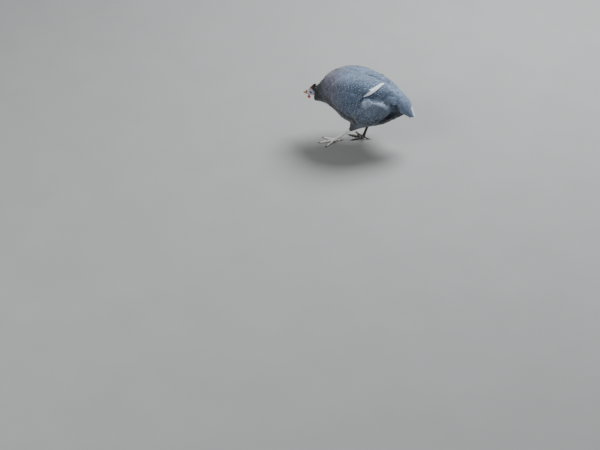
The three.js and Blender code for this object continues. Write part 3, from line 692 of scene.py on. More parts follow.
def body_base(a, deg):
    """vane colour at a root"""
    phi = np.abs((deg + 180) % 360 - 180)[:, None]
    a = a[:, None]
    # paler on top, grading darker down the sides: painted light from above
    c = SLATE_PALE + (SLATE - SLATE_PALE) * smooth(15, 62, phi)
    # belly much darker: painted shade under the body
    c = c + (SLATE_DARK * 0.50 - c) * smooth(93, 113, phi) * 0.95
    # rump paler on top: a painted highlight where light catches its rounded top
    rump_painted_light = smooth(8.5, 11.5, a) * (1 - smooth(60, 105, phi))
    c = c + (SLATE_PALE * 1.15 - c) * rump_painted_light * 0.85
    # paler patch over the fluffed flank: painted light on the lit top of the bulge
    flank = np.exp(-((a - 8.8) / 1.8) ** 2) * np.exp(-((phi - 81) / 19) ** 2)
    c = c + (linear((104, 117, 134)) - c) * flank * 0.85
    rim = np.exp(-((np.hypot((a - 9.1) / 1.2, (phi - 80) / 16.5) - 1) / 0.24) ** 2) * (1 - smooth(66, 86, phi))     # its upper edge paler: a painted highlight where light catches the fluffed flank
    c = c + (linear((170, 183, 201)) - c) * rim * 0.8
    # darker in the hollow behind the flank and under the tail: painted shade
    vent_painted_shade = np.maximum(gap_at(a, phi), 0.55 * smooth(9.8, 10.8, a) * smooth(98, 118, phi))
    c = c + (SLATE_DARK * 0.62 - c) * vent_painted_shade * 0.9
    c = c + (COLLAR - c) * (1 - smooth(3.9, 6.4, a))
    # lower breast darker: painted shade under the front of the body
    c = c * (1 - 0.6 * smooth(64, 102, phi) * (1 - smooth(4.5, 6.5, a)))
    nape = 1 - smooth(1.4, 3.4, a)
    return c + (NAPE * 0.7 - c) * nape * 0.96


def painted_shade_body_spot(a, deg):
    """spot colour, darkened in the hollow and under the belly as painted shade"""
    phi = np.abs((deg + 180) % 360 - 180)
    return SPOT * ((1 - 0.7 * gap_at(a, phi)) * (1 - 0.62 * smooth(96, 122, phi)))[:, None]


def clumps(p):
    """unevenness of the coat from place to place"""
    return 0.65 * wobble(p, 36, 81) + 0.5 * wobble(p, 17, 82) + 0.3 * wobble(p, 9.5, 83)


def body_coat():
    rows = rows_along(BODY_SHEET, 0.04, 12.95, 0.56)
    roots = []
    for k, (a, step, wide, columns) in enumerate(rows):
        deg = (np.arange(columns) + 0.5 * (k % 2)) * 360 / columns
        deg = deg + rng.normal(0, 0.11, columns) * 360 / columns
        aa = a + rng.normal(0, 0.20 * (rows[min(k + 1, len(rows) - 1)][0] - rows[max(k - 1, 0)][0]) / 2, columns)
        roots.append(np.stack([aa, deg, np.full(columns, step), np.full(columns, wide)], 1))
    r = np.concatenate(roots)
    r = r[~in_wing(r[:, 0], r[:, 1], 13.0)]
    face = np.abs(np.abs((r[:, 1] + 180) % 360 - 180) - 92)                # bare behind the eye and on the cheek
    r = r[r[:, 0] > 0.75 - 0.72 * smooth(30, 62, face)]
    a, deg, step, wide = r.T
    phi = np.abs((deg + 180) % 360 - 180)
    edge = a + rng.normal(0, 0.16, len(r))
    kind = np.where(edge < 4.75, 0, np.where(edge < 6.0, 1, np.where(phi > 62, 3, 2)))
    kind = np.where(((gap_at(a, phi) > 0.5) | (phi > 122)) & (kind > 1), 1, kind)
    fluff = smooth(60, 100, phi) * smooth(5.5, 7.5, a)
    length = step * (2.75 + 0.9 * fluff) * rng.normal(1, 0.05, len(r))
    width = wide * (1.42 + 0.12 * fluff) * rng.normal(1, 0.04, len(r))
    turn = 13 * np.sin(np.radians(deg)) * smooth(2, 5, a) + rng.normal(0, 3.5, len(r))
    scale = np.clip(step / 6.3, 0.25, 1)
    root_h = -2.7 * scale - 0.5 - 0.9 * fluff
    lump = clumps(BODY_SHEET.at(a, deg))
    top = smooth(4.5, 6, a) * (1 - smooth(8, 9.5, a)) * (1 - smooth(20, 60, phi))
    tip_h = (0.2 + 0.9 * fluff - 1.3 * top) * scale + rng.normal(0, 0.2, len(r)) * scale + 2.0 * lump * scale
    root_h = root_h + 2.0 * lump * scale - 1.3 * top
    # random tone per feather, and the colour also follows the clumps: paler on raised ones, darker in the dips, as
    # painted shade of the relief
    base = body_base(a, deg) * (1 + rng.normal(0, 1, (len(r), 1)) * (0.05 + 0.04 * smooth(4.5, 6.5, a))[:, None]) * (1 + 0.42 * lump[:, None])
    kinds = ["plain", "fine", "mid", "big"]
    variant = rng.integers(0, 10, len(r))
    made = []
    edges = [0, 5.1, 6.6, 7.6, 8.7, 10.0, 11.4, 14]
    for lo, hi in zip(edges[:-1], edges[1:]):
        coat = Coat("coat_body_%d" % len(made))
        for k in range(4):
            for v in range(10):
                s = (a >= lo) & (a < hi) & (kind == k) & (variant == v)
                if not s.any():
                    continue
                t = TEMPLATES[kinds[k]][v]
                pos = place(BODY_SHEET, a[s], deg[s], length[s], width[s], turn[s], root_h[s], tip_h[s] + 0.5, t, cup=0.06, bend=0.42)
                coat.add(pos, t[1], t[2], base[s], 0.10, painted_shade_body_spot(a[s], deg[s]), body_uv(a[s], deg[s]), t[0], length[s], width[s])
        made += coat.build()
    return made



# ------------------------------------------------------------------ long feathers
def long_outline(n=13, root=0.45, taper=0.8, tip=0.86, seed=0, ragged=0.02):
    """wing or tail feather: nearly parallel sides, rounded tip, -1..1 across, 0..1 along"""
    r = np.random.default_rng(seed + 50)
    y1 = np.linspace(0, tip, n)
    w1 = np.where(y1 < 0.25, root + (1 - root) * np.sin(y1 / 0.25 * math.pi / 2), 1 - (1 - taper) * smooth(0.4, 1, y1))
    t = np.linspace(0, math.pi / 2, 7)[1:]
    y2 = tip + (1 - tip) * np.sin(t)
    w2 = w1[-1] * np.cos(t)
    w2[-1] = 0
    y, w = np.concatenate([y1, y2]), np.concatenate([w1, w2])
    p = np.concatenate([np.stack([w, y], 1), np.stack([-w[:-1], y[:-1]], 1)[::-1]])
    j = r.normal(0, ragged, p.shape)
    m = p[:, 1] > 0.3
    p[m] += j[m] * np.array([0.8, 0.25])
    p[:, 1] = np.clip(p[:, 1], 0, 1.02)
    return p


def long_templates(kind, count=4, aspect=5.5):
    """aspect: length over width. Spots run in rows along both webs"""
    out = []
    for i in range(count):
        r = np.random.default_rng(900 + 10 * len(kind) + i)
        o = long_outline(seed=i, root=0.85, taper=0.72, tip=0.84) if kind == "white" else long_outline(seed=i)
        inner = [(x, y) for y in np.linspace(0.06, 0.92, 12) for x in (-0.5, 0.0, 0.5)]
        spots = []
        if kind == "spot":
            gap = 0.42 / aspect
            k = 0
            for y in np.arange(0.34, 0.95, gap):
                for x in ((-0.66, 0.36) if k % 2 else (-0.28, 0.72)):
                    if abs(x) > 0.9 - 0.5 * smooth(0.85, 1, y):
                        continue
                    rad = 0.13 * r.uniform(0.85, 1.15)
                    spots.append((x + r.normal(0, 0.03), y + r.normal(0, 0.004), rad, rad * 0.5 / aspect * 1.15))
                k += 1
        out.append(vane_template(o, spots, ring=0.35 if spots else 0.0, inner=inner, seed=i, n_side=11))
    return out


LONG = {"spot": long_templates("spot"), "white": long_templates("white")}


def place_path(sheet, A, PHI, side, width, root_h, tip_h, template, roll=0.0, cup=0.0, shaft=0.25, sag=0.0, rise=0.9):
    """vanes along paths. A, PHI (F,K): samples along each path; x>0 is towards larger phi"""
    v = template[0]
    F, K = A.shape
    ys = np.linspace(0, 1, K)
    x, y = v[:, 0], v[:, 1]
    a = np.stack([np.interp(y, ys, A[i]) for i in range(F)])
    f = np.stack([np.interp(y, ys, PHI[i]) for i in range(F)])
    da = np.stack([np.interp(y, ys, np.gradient(A[i], ys)) for i in range(F)])
    df = np.stack([np.interp(y, ys, np.gradient(PHI[i], ys)) for i in range(F)])
    Ta, Td, _ = sheet.frame(a, f * side)
    la, ld = np.linalg.norm(Ta, axis=-1), np.linalg.norm(Td, axis=-1)
    ta, td = da * la, df * ld
    n = np.hypot(ta, td)
    off = 0.5 * width[:, None] * x[None]
    aa = a - td / n * off / la
    ff = f + ta / n * off / ld
    h = root_h[:, None] + (tip_h - root_h)[:, None] * np.maximum(y[None], 0) ** rise
    h = h + roll * width[:, None] * 0.5 * x - cup * width[:, None] * x ** 2 + shaft * np.exp(-(x / 0.12) ** 2) - sag * y ** 3
    return sheet.at(aa, ff * side, h)


def wing_base(a, phi):
    # paler on top, a little darker low down: painted light from above and painted shade below
    c = SLATE_PALE + (SLATE - SLATE_PALE) * smooth(10, 60, phi)[:, None]
    c = c + (SLATE_DARK - c) * 0.12 * smooth(60, 100, phi)[:, None]
    # lighter where the lower coverts dip into the crease above the flank: painted light that fills in its shade
    return c * (1 + 0.55 * np.exp(-((a - 6.5) / 1.1) ** 2) * np.exp(-((phi - 70) / 14) ** 2))[:, None]


def wing_coat(side, name):
    coat = Coat("coat_wing_%s" % name)
    K = 14

    def q_path(q, a0, a1, lift=0.0):
        a = np.linspace(a0, a1, K)
        return a, q - 15 * (a - 8) - lift * np.linspace(0, 1, K) ** 2

    # flight feathers: (q, root a, tip a, width mm, white)
    quills = []
    for i, q in enumerate((86, 82.5, 79.0)):                                      # primaries under the rest
        quills.append((q - 3, 7.6, 11.55 - 0.12 * i, 19, 0, -3.4 + 0.25 * i))
    lows = [78, 74, 70, 66, 62, 58, 54.5, 51, 47, 43]
    for i, q in enumerate(lows):
        tip = {78: 11.35, 74: 11.2, 70: 11.05, 66: 10.85, 62: 10.6, 58: 10.25, 54.5: 10.15, 51: 10.0, 47: 10.2, 43: 9.95}[q]
        quills.append((q - 3.0, 6.9, tip, 20, 0, -2.4 + 0.26 * i))
    for i, q in enumerate((37, 30, 23, 15, 7)):
        quills.append((q - 2, 6.3, 9.75 - 0.45 * i, 27, 0, -0.5 + 0.10 * i))
    short, at_, curl = (0.0, 52.5, 11.0) if side < 0 else (0.4, 61.0, 6.0)   # on the right the white stays lower
    for i, (o, a1, w) in enumerate(((2.8, 9.50, 8.6), (-3.2, 9.60, 8.6), (0.1, 9.72, 9.4))):        # the white ones cross the rest
        quills.append((o, 7.6 - short, a1 - short, w, 1, 0.9 + 0.3 * i))
    for q, a0, a1, w, white, h in quills:
        a, f = q_path(q, a0, a1)
        if white:
            f = at_ + q - 10.0 * (a - 8.1) - curl * np.maximum(a - 8.1, 0) ** 2
        f = np.maximum(f + rng.normal(0, 0.4), 3.5 + 0.02 * q)
        t = LONG["white" if white else "spot"][int(rng.integers(0, 4))]
        drop = 5.0 if white else 2.2
        pos = place_path(BODY_SHEET, a[None], f[None], side, np.array([w * 1.0]), np.array([h - drop]), np.array([h + (0.8 if not white else 2.7 if side < 0 else 1.4)]), t, roll=0.05,
                         cup=0.03 if white else 0.01, rise=0.5 if white else 0.9)
        base = (WHITE * 0.97)[None] if white else wing_base(a[6:7], f[6:7]) * rng.normal(1, 0.04)
        coat.add(pos, t[1], t[2], base, 0.03, SPOT, body_uv(a[3:4], side * f[3:4]), t[0], np.array([85.0 if white else 110.0]), np.array([w * 1.0]), patch=0.006,
                 root_shade=0.95 if white else 0.7)

    # coverts lap over the roots of the white ones
    for o, w, a1 in ((6.0, 15, 8.0), (1.6, 15, 8.16), (-6.0, 17, 8.62), (-2.2, 15, 8.34)):
        a = np.linspace(6.7, a1 + 0.02, K) - short
        f = at_ + o - 10.0 * (a - 8.1)
        t = TEMPLATES["cover"][int(rng.integers(0, 6))]
        pos = place_path(BODY_SHEET, a[None], f[None], side, np.array([w * 1.0]), np.array([-1.6]), np.array([1.9]), t, cup=0.05, rise=0.8)
        coat.add(pos, t[1], t[2], wing_base(a[6:7], f[6:7]), 0.06, SPOT, body_uv(a[3:4], side * f[3:4]), t[0], np.array([50.0]), np.array([w * 1.0]), patch=0.004)

    # coverts in rows, growing rearwards: (row a, number, length, width)
    rows = [(6.72, 13, 52, 21, 1.7), (6.28, 14, 41, 19, 2.1), (5.92, 14, 33, 17.5, 2.3)]
    a = 5.62
    while a > 4.45:
        k = (a - 4.45) / (5.62 - 4.45)
        rows.append((a, int(10 + 6 * k), 15 + 14 * k, 10.5 + 6 * k, 1.5 + 0.9 * k))
        a -= 0.155 + 0.08 * k
    A, D, L, W, T, H = [], [], [], [], [], []
    for j, (a, n, length, width, h) in enumerate(rows):
        top, low = wing_edges(a)
        top = max(top - 6, 3) if a > 5 else top - 2
        phi = top + (low + 3 - top) * (np.arange(n) + 0.5 * (j % 2) + 0.25) / n
        for f in phi:
            w = float(smooth(5.0, 6.5, a))
            A.append(a + rng.normal(0, 0.02)); D.append(f + rng.normal(0, 0.5))
            L.append(length * rng.normal(1, 0.04)); W.append(width * rng.normal(1, 0.04))
            T.append(9 + (-31 - 9) * w + rng.normal(0, 3)); H.append(h + 0.1 * (len(rows) - j) * 0.2)
    A, D, L, W, T, H = (np.array(x) for x in (A, D, L, W, T, H))
    kind = np.where(A > 6.1, 3, 2)
    variant = rng.integers(0, 10, len(A))
    lump = clumps(BODY_SHEET.at(A, side * D))
    base = wing_base(A, D)
    base = base + (COLLAR - base) * (1 - smooth(4.2, 6.2, A))[:, None]
    # random tone per covert, and the colour also follows the clumps: paler on raised ones, darker in the dips, as
    # painted shade of the relief
    base = base * rng.normal(1, 0.08, (len(A), 1)) * (1 + 0.38 * lump[:, None])
    H = H + 1.2 * lump
    for k, kd in ((2, "mid"), (3, "cover")):
        for v in range(10):
            s = (kind == k) & (variant == v)
            if s.any():
                t = TEMPLATES[kd][v]
                pos = place(BODY_SHEET, A[s], side * D[s], L[s], W[s], side * T[s], H[s] - 3.9, H[s] - 0.6 + rng.normal(0, 0.2, s.sum()), t, cup=0.05, bend=0.17)
                coat.add(pos, t[1], t[2], base[s], 0.08, SPOT, body_uv(A[s], side * D[s]), t[0], L[s], W[s])
    return coat.build()


def tail_coat():
    coat = Coat("coat_tail")
    K = 10
    for i in range(7):                                    # from the outermost pair inwards
        for side in (-1, 1):
            f1 = 78 - 12.3 * i
            f0 = f1 * 0.8
            a = np.linspace(1.2, 5.02 - 0.10 * (6 - i) ** 1.15 * 0.55, K)
            f = np.linspace(f0, f1, K)
            white = side > 0 and i > 4                    # two white ones right of the middle
            t = LONG["white" if white else "spot"][int(rng.integers(0, 4))]
            h = -3.2 + 0.42 * i + (0.5 if white else 0.0)
            pos = place_path(TAIL_SHEET, a[None], f[None], side, np.array([19.0]), np.array([h - 1.5]), np.array([h]), t, roll=0.05, cup=0.015)
            # the upper, central feathers paler: a painted highlight along the tail's top edge
            base = (WHITE * 0.94 if white else SLATE_PALE * (0.98 + 0.6 * smooth(3, 6, i)))[None] * (1 + rng.normal(0, 0.04) * (not white))
            coat.add(pos, t[1], t[2], base, 0.05, SPOT, tail_uv(a[3:4], side * f[3:4]), t[0], np.array([75.0]), np.array([19.0]), patch=0.006)
    A, D, L, W, H, B = [], [], [], [], [], []
    rows = [(0.0, 12, 26, 15), (0.35, 12, 27, 15), (0.75, 12, 28, 15.5), (1.15, 11, 29, 16), (1.6, 11, 30, 16), (2.05, 10, 31, 16), (2.5, 9, 32, 15)]
    for j, (a, n, length, width) in enumerate(rows):
        for k in range(n):
            f = -98 + 196 * (k + 0.5 * (j % 2) + 0.25) / n
            if a > 1.9 and -14 < f < 42:                                  # the white ones stay uncovered
                continue
            A.append(a + rng.normal(0, 0.04)); D.append(f + rng.normal(0, 1.5)); L.append(length * rng.normal(1, 0.05))
            W.append(width * rng.normal(1, 0.05)); H.append(1.2)
            # paler along the top towards the tail's end: a painted highlight
            B.append(SLATE_PALE * (1.05 + 0.5 * smooth(0.8, 2.4, a) * (1 - smooth(10, 50, abs(f)))))
    under = [(0.3, 10, 24, 15), (0.8, 10, 25, 15), (1.3, 10, 25, 15), (1.8, 9, 25, 14), (2.3, 9, 24, 13), (2.8, 8, 23, 12), (3.3, 7, 22, 11)]
    for j, (a, n, length, width) in enumerate(under):
        for k in range(n):
            f = 92 + 176 * (k + 0.5 * (j % 2) + 0.25) / n
            A.append(a + rng.normal(0, 0.04)); D.append(f + rng.normal(0, 1.5)); L.append(length * rng.normal(1, 0.05))
            # under coverts darker: painted shade beneath the tail
            W.append(width * rng.normal(1, 0.05)); H.append(0.2); B.append(SLATE * 0.72)
    A, D, L, W, H, B = (np.array(x) for x in (A, D, L, W, H, B))
    B = B * rng.normal(1, 0.05, (len(A), 1))
    variant = rng.integers(0, 10, len(A))
    for v in range(10):
        s = variant == v
        t = TEMPLATES["cover"][v]
        pos = place(TAIL_SHEET, A[s], D[s], L[s], W[s], rng.normal(0, 4, s.sum()), H[s] - 3.2, H[s] + rng.normal(0, 0.25, s.sum()), t, cup=0.05)
        coat.add(pos, t[1], t[2], B[s], 0.08, SPOT, tail_uv(np.clip(A[s], 0, 5), D[s]), t[0], L[s], W[s])
    return coat.build()


# ------------------------------------------------------------------ legs
LIMB = {k: limb_sheet(v["pts"], THIGH, 0.0, 5.0, 110, 60) for k, v in LEGS.items()}


def thigh_coat(leg):
    sheet = LIMB[leg]
    coat = Coat("coat_thigh_%s" % leg)
    columns = 24
    A, D, S, Wd = [], [], [], []
    a, k = 0.7, 0
    while a < 4.7:
        g = girth(sheet, a)
        step = max(0.60 * g / columns, 1.7)
        speed = np.linalg.norm(sheet.sample(sheet.Ta, np.full(12, a), np.linspace(0, 330, 12)), axis=1).mean()
        n = columns if g > 90 else 16
        d = (np.arange(n) + 0.5 * (k % 2)) * 360 / n
        A += list(np.minimum(a + rng.normal(0, 0.02, n), 4.72)); D += list(d + rng.normal(0, 2, n)); S += [step] * n; Wd += [g / n] * n
        a += step / speed
        k += 1
    A, D, S, Wd = (np.array(x) for x in (A, D, S, Wd))
    kind = np.where(A < 3.3, 3, np.where(A < 4.2, 1, 0))
    variant = rng.integers(0, 10, len(A))
    base = SLATE * 0.95 + (SLATE_DARK * 0.62 - SLATE * 0.95) * smooth(1.2, 2.9, A)[:, None]
    spot = SPOT * (1 - 0.6 * smooth(1.6, 3.2, A))[:, None]
    base = base * rng.normal(1, 0.06, (len(A), 1))
    kinds = ["plain", "fine", "mid", "big"]
    sc = np.clip(S / 6, 0.3, 1)
    for k in range(4):
        for v in range(10):
            s = (kind == k) & (variant == v)
            if s.any():
                t = TEMPLATES[kinds[k]][v]
                pos = place(sheet, A[s], D[s], S[s] * 3.3, Wd[s] * 1.5, rng.normal(0, 5, s.sum()), -2.9 * sc[s], 0.4 * sc[s] + rng.normal(0, 0.2, s.sum()), t, cup=0.06, bend=0.3)
                coat.add(pos, t[1], t[2], base[s], 0.08, spot[s], limb_uv(leg, A[s], D[s]), t[0], S[s] * 3.3, Wd[s] * 1.5)
    return coat.build()


def strip_template(n=6):
    y = np.linspace(0, 1, n)
    w = np.sqrt(np.clip(1 - y ** 2, 0.04, 1)) * np.minimum(1, 0.5 + y * 3)
    v = np.concatenate([np.stack([-w, y], 1), np.stack([w, y], 1)])
    t = []
    for i in range(n - 1):
        t += [[i, n + i, n + i + 1], [i, n + i + 1, i + 1]]
    return v, np.array(t), np.zeros(len(t), int)


def bristles():
    """hair-like feathers of the nape, and short ones thinly set on the bare skin before the neck"""
    coat = Coat("coat_nape")
    strip = strip_template()
    n = 420
    a, d = rng.uniform(0.05, 2.3, n), rng.normal(0, 20, n)
    length = rng.uniform(6, 12, n) * (1 - 0.15 * a)
    up = rng.uniform(0.8, 3.4, n) * (1 - 0.25 * a)
    base = NAPE * rng.uniform(0.6, 1.2, (n, 1))
    pos = place(BODY_SHEET, a, d, length, np.full(n, 0.42), rng.normal(0, 10, n), np.full(n, -0.8), up, strip, cup=0.0)
    coat.add(pos, strip[1], strip[2], base, 0.0, SPOT, body_uv(a, d), strip[0], length, np.full(n, 0.42), patch=0.0015)
    n = 330
    b = 13 - rng.exponential(3.0, n)
    d = np.where(rng.random(n) < 0.5, 1, -1) * rng.uniform(28, 168, n)
    keep = (b > 1.5) & ~((np.abs(np.abs(d) - 92) < 44) & (b < 10.8))
    b, d = b[keep], d[keep]
    n = len(b)
    length = rng.uniform(2.2, 4.6, n)
    base = NAPE * rng.uniform(0.7, 1.5, (n, 1))
    pos = place(HEAD_SHEET, b, d, length, np.full(n, 0.17), rng.normal(0, 12, n), np.full(n, -0.15), rng.uniform(0.3, 0.9, n), strip, cup=0.0)
    coat.add(pos, strip[1], strip[2], base, 0.0, SPOT, head_uv(-b, d), strip[0], length, np.full(n, 0.17), patch=0.0015)
    return coat.build()


# ------------------------------------------------------------------ skin
FACE = linear((193, 200, 216))
FACE_PINK = linear((200, 140, 140))
FACE_BLUE = linear((130, 147, 178))
RED = linear((176, 42, 38))
HORN = linear((96, 66, 48))
HORN_DARK = linear((48, 34, 28))
BILL_BASE = linear((150, 84, 66))
BILL_TIP = linear((188, 168, 138))
# the left leg's pale horn is pushed close to white: partly its own colour, partly painted light against the body's
# shadow
LEG_PALE = linear((248, 245, 236))
LEG_DUSK = linear((226, 218, 203))
# the right leg's dark colour: painted shade, as the body shades it
LEG_DARK_PAINTED_SHADE = linear((56, 53, 54))


def wobble(p, scale, seed):
    """smooth noise -1..1 from a few sines, the same at the same place"""
    r = np.random.default_rng(seed)
    out = 0
    for k in range(5):
        d = unit(r.normal(0, 1, 3)) * (1 + 0.6 * k) / scale
        out = out + np.sin(p @ d * 2 * math.pi + r.uniform(0, 6.28)) / (1 + 0.5 * k)
    return out / 2.9


def closed_grid(P, first, last):
    """grid of rings with a point at each end -> verts, tris"""
    rows, cols = P.shape[:2]
    v = np.concatenate([P.reshape(-1, 3), [first], [last]])
    t = grid_tris(rows, cols)
    c = np.arange(cols)
    n = (c + 1) % cols
    a = np.stack([np.full(cols, rows * cols), n, c], 1)
    b = np.stack([np.full(cols, rows * cols + 1), (rows - 1) * cols + c, (rows - 1) * cols + n], 1)
    t = np.concatenate([t, a, b])
    vol = np.sum(np.einsum("ij,ij->i", v[t[:, 0]], np.cross(v[t[:, 1]], v[t[:, 2]])))
    return v, (t if vol > 0 else t[:, ::-1])


def to_head(p):
    """bird's frame back to the head frame"""
    c, s = math.cos(HEAD_DIP), math.sin(HEAD_DIP)
    dx, dz = p[..., 0] - HEAD_AT[0], p[..., 2] - HEAD_AT[1]
    return np.stack([-dx * c - dz * s, p[..., 1], -dx * s + dz * c], -1)


def face_relief(h):
    """height over the plain head, in mm, at head-frame points"""
    x, y, z = h[..., 0], np.abs(h[..., 1]), h[..., 2]
    side = smooth(4, 8, y)
    dx, dz = (x - EYE["x"]) / 1.10, (z - EYE["z"]) / 0.93
    rho = np.hypot(dx, dz)
    lid = rho + 0.35 * smooth(0.2, 3.2, dz)                                  # upper lid comes lower
    out = -6.5 * (1 - smooth(3.3, 4.0, lid)) * side                          # opening of the eye
    out = out + 1.1 * np.exp(-((rho - 4.75) / 0.8) ** 2) * side              # rims of the lids
    out = out + 0.35 * np.exp(-((rho - 7.1) / 0.55) ** 2) * side * (0.5 + 0.5 * np.sin(np.arctan2(dz, dx) * 2 + 0.6))
    ring = np.exp(-((rho - 8.6) / 2.4) ** 2) * side
    out = out + 0.16 * np.sin(rho * 4.6) * ring                              # fine folds round it
    out = out + 0.9 * np.exp(-((z - EYE["z"] - 6.9 + 0.05 * x * x / 4) / 1.5) ** 2) * smooth(-8, -3, x) * (1 - smooth(5, 9, x)) * side   # brow
    cheek = z + 4.8 + 0.35 * (x - 9)                                          # fold from the gape back under the eye
    out = out + 0.55 * np.exp(-(cheek / 1.1) ** 2) * smooth(-9, -3, x) * (1 - smooth(11, 14, x)) * side
    out = out - 0.6 * np.exp(-((cheek + 2.1) / 0.7) ** 2) * smooth(-7, -1, x) * (1 - smooth(12, 15, x)) * side
    ear = np.hypot((x + 8.6) / 1.0, (z + 1.2) / 1.3)
    out = out - 1.6 * (1 - smooth(0.9, 1.9, ear)) * side + 0.5 * np.exp(-((ear - 2.4) / 0.7) ** 2) * side
    throat = smooth(6, 11, -z)
    out = out + 0.35 * np.sin(x * 1.9 + 0.5 * np.sin(y)) * throat
    p = h * 1.0
    out = out + 0.14 * wobble(p, 2.2, 3) + 0.09 * wobble(p, 1.1, 4)
    return out


def skin_colour_head(h):
    x, y, z = h[..., 0:1], np.abs(h[..., 1:2]), h[..., 2:3]
    c = FACE + np.zeros(h.shape)
    blue = smooth(1, 5, wobble(h, 14, 8)[..., None] * 3 + 2.2) * 0.35 + 0.45 * smooth(-2, -9, x)
    c = c + (FACE_BLUE - c) * np.clip(blue, 0, 0.8)
    gape = np.exp(-(((x - 10) / 6.0) ** 2 + ((z + 7.5) / 3.6) ** 2))
    c = c + (FACE_PINK - c) * np.clip(1.1 * gape, 0, 1)
    back = np.exp(-(((x + 9.5) / 3.8) ** 2 + ((z + 3.0) / 5.5) ** 2)) * smooth(5, 9, y)
    c = c + (linear((176, 104, 108)) - c) * np.clip(0.75 * back, 0, 1)
    rho = np.hypot((x - EYE["x"]) / 1.1, (z - EYE["z"]) / 0.93)
    c = c + (linear((96, 88, 104)) - c) * (np.exp(-((rho - 4.4) / 0.6) ** 2) * 0.8) * smooth(4, 8, y)
    top = smooth(7, 11, z)
    c = c + (linear((120, 92, 84)) - c) * top * 0.7
    return c * (1 + 0.06 * wobble(h, 3.0, 12)[..., None])


def body_skin():
    n = 240
    deg = np.linspace(0, 360, n, endpoint=False)
    a = np.concatenate([np.linspace(12.75, 5, 90), np.linspace(5, 1.4, 70)[1:], np.linspace(1.4, 0, 46)[1:]])
    A, Dg = np.meshgrid(a, deg, indexing="ij")
    depth = np.interp(a, [0, 0.5, 1.4, 3, 5, 13], [0.0, 1.0, 3.2, 6.0, COAT, COAT])[:, None, None]
    bump = PLAIN_SHEET.sample(BUMP, A, Dg)                                # heights over the plain trunk never fold over
    body = PLAIN_SHEET.at(A, Dg) + unit(PLAIN_SHEET.sample(PLAIN_SHEET.N, A, Dg)) * (bump - depth - 0.7)
    hx = np.concatenate([np.linspace(-5, 12, 82)[1:], np.linspace(12, 17, 18)[1:]])
    H, Dh = np.meshgrid(hx, deg, indexing="ij")
    head = head_ring(H, Dh)
    base = np.concatenate([body, head])
    n0 = Sheet(base, 0, 1).N
    h = to_head(base)
    w = np.concatenate([1 - smooth(0.0, 0.9, a), np.ones(len(hx))])[:, None]
    w = w * np.concatenate([np.ones(len(a)), 1 - smooth(14.5, 17, hx)])[:, None]
    P = base + n0 * (face_relief(h) * w)[..., None]
    ends = (body[0].mean(0) + [4, 0, 0], head_point(18.4, 0, -3.8))
    v, t = closed_grid(P, ends[0], ends[1])
    # colours
    cb = body_base(A.ravel(), Dg.ravel()).reshape(A.shape + (3,)) * 0.8
    cb = cb * (1 + 0.1 * wobble(body, 9, 5)[..., None])
    ch = skin_colour_head(h)
    wf = np.concatenate([1 - smooth(0.15, 1.0, A - 0.55 * np.exp(-((np.abs((Dg + 180) % 360 - 180) - 92) / 34) ** 2)), np.ones(H.shape)])[..., None]
    full = np.concatenate([cb, np.zeros(H.shape + (3,))])
    col = ch * wf + full * (1 - wf)
    col = np.concatenate([col.reshape(-1, 3), [col[0].mean(0)], [col[-1].mean(0)]])
    # map: body share below, head share above
    vv = np.concatenate([0.04 + 0.62 * (13 - a) / 13, 0.66 + 0.30 * (hx + 5) / 22])
    return v, t, col, (vv, n)


def grid_corner_uv(t, rows, cols, urange, vvals, shift=0.5):
    """corner map for closed_grid meshes; the cut runs where u wraps"""
    nv = rows * cols
    r = np.minimum(t, nv - 1) // cols
    c = t % cols
    pole = t >= nv
    r = np.where(t == nv, 0, np.where(t == nv + 1, rows - 1, r))
    u = ((c / cols) + shift) % 1.0
    u[pole] = np.nan
    mean = np.nanmean(u, axis=1, keepdims=True)
    u = np.where(np.isnan(u), mean, u)
    span = u.max(1) - u.min(1)
    wrap = span > 0.5
    u[wrap] = np.where(u[wrap] < 0.5, u[wrap] + 1, u[wrap])
    u = urange[0] + (urange[1] - urange[0]) * np.clip(u, 0, 1.0)
    return np.stack([u, np.asarray(vvals)[r]], -1)


def plain_mesh(name, v, t, col, uv):
    """closed piece with a colour and a map, still loose"""
    return mesh_object(name, world(v), t, np.asarray(col)[t], uv)


def scute_height(x, sharp=3.0):
    """row of plates: flat tops, narrow grooves"""
    f = (x % 1.0) * 2 - 1
    return 1 - np.abs(f) ** (2 * sharp)


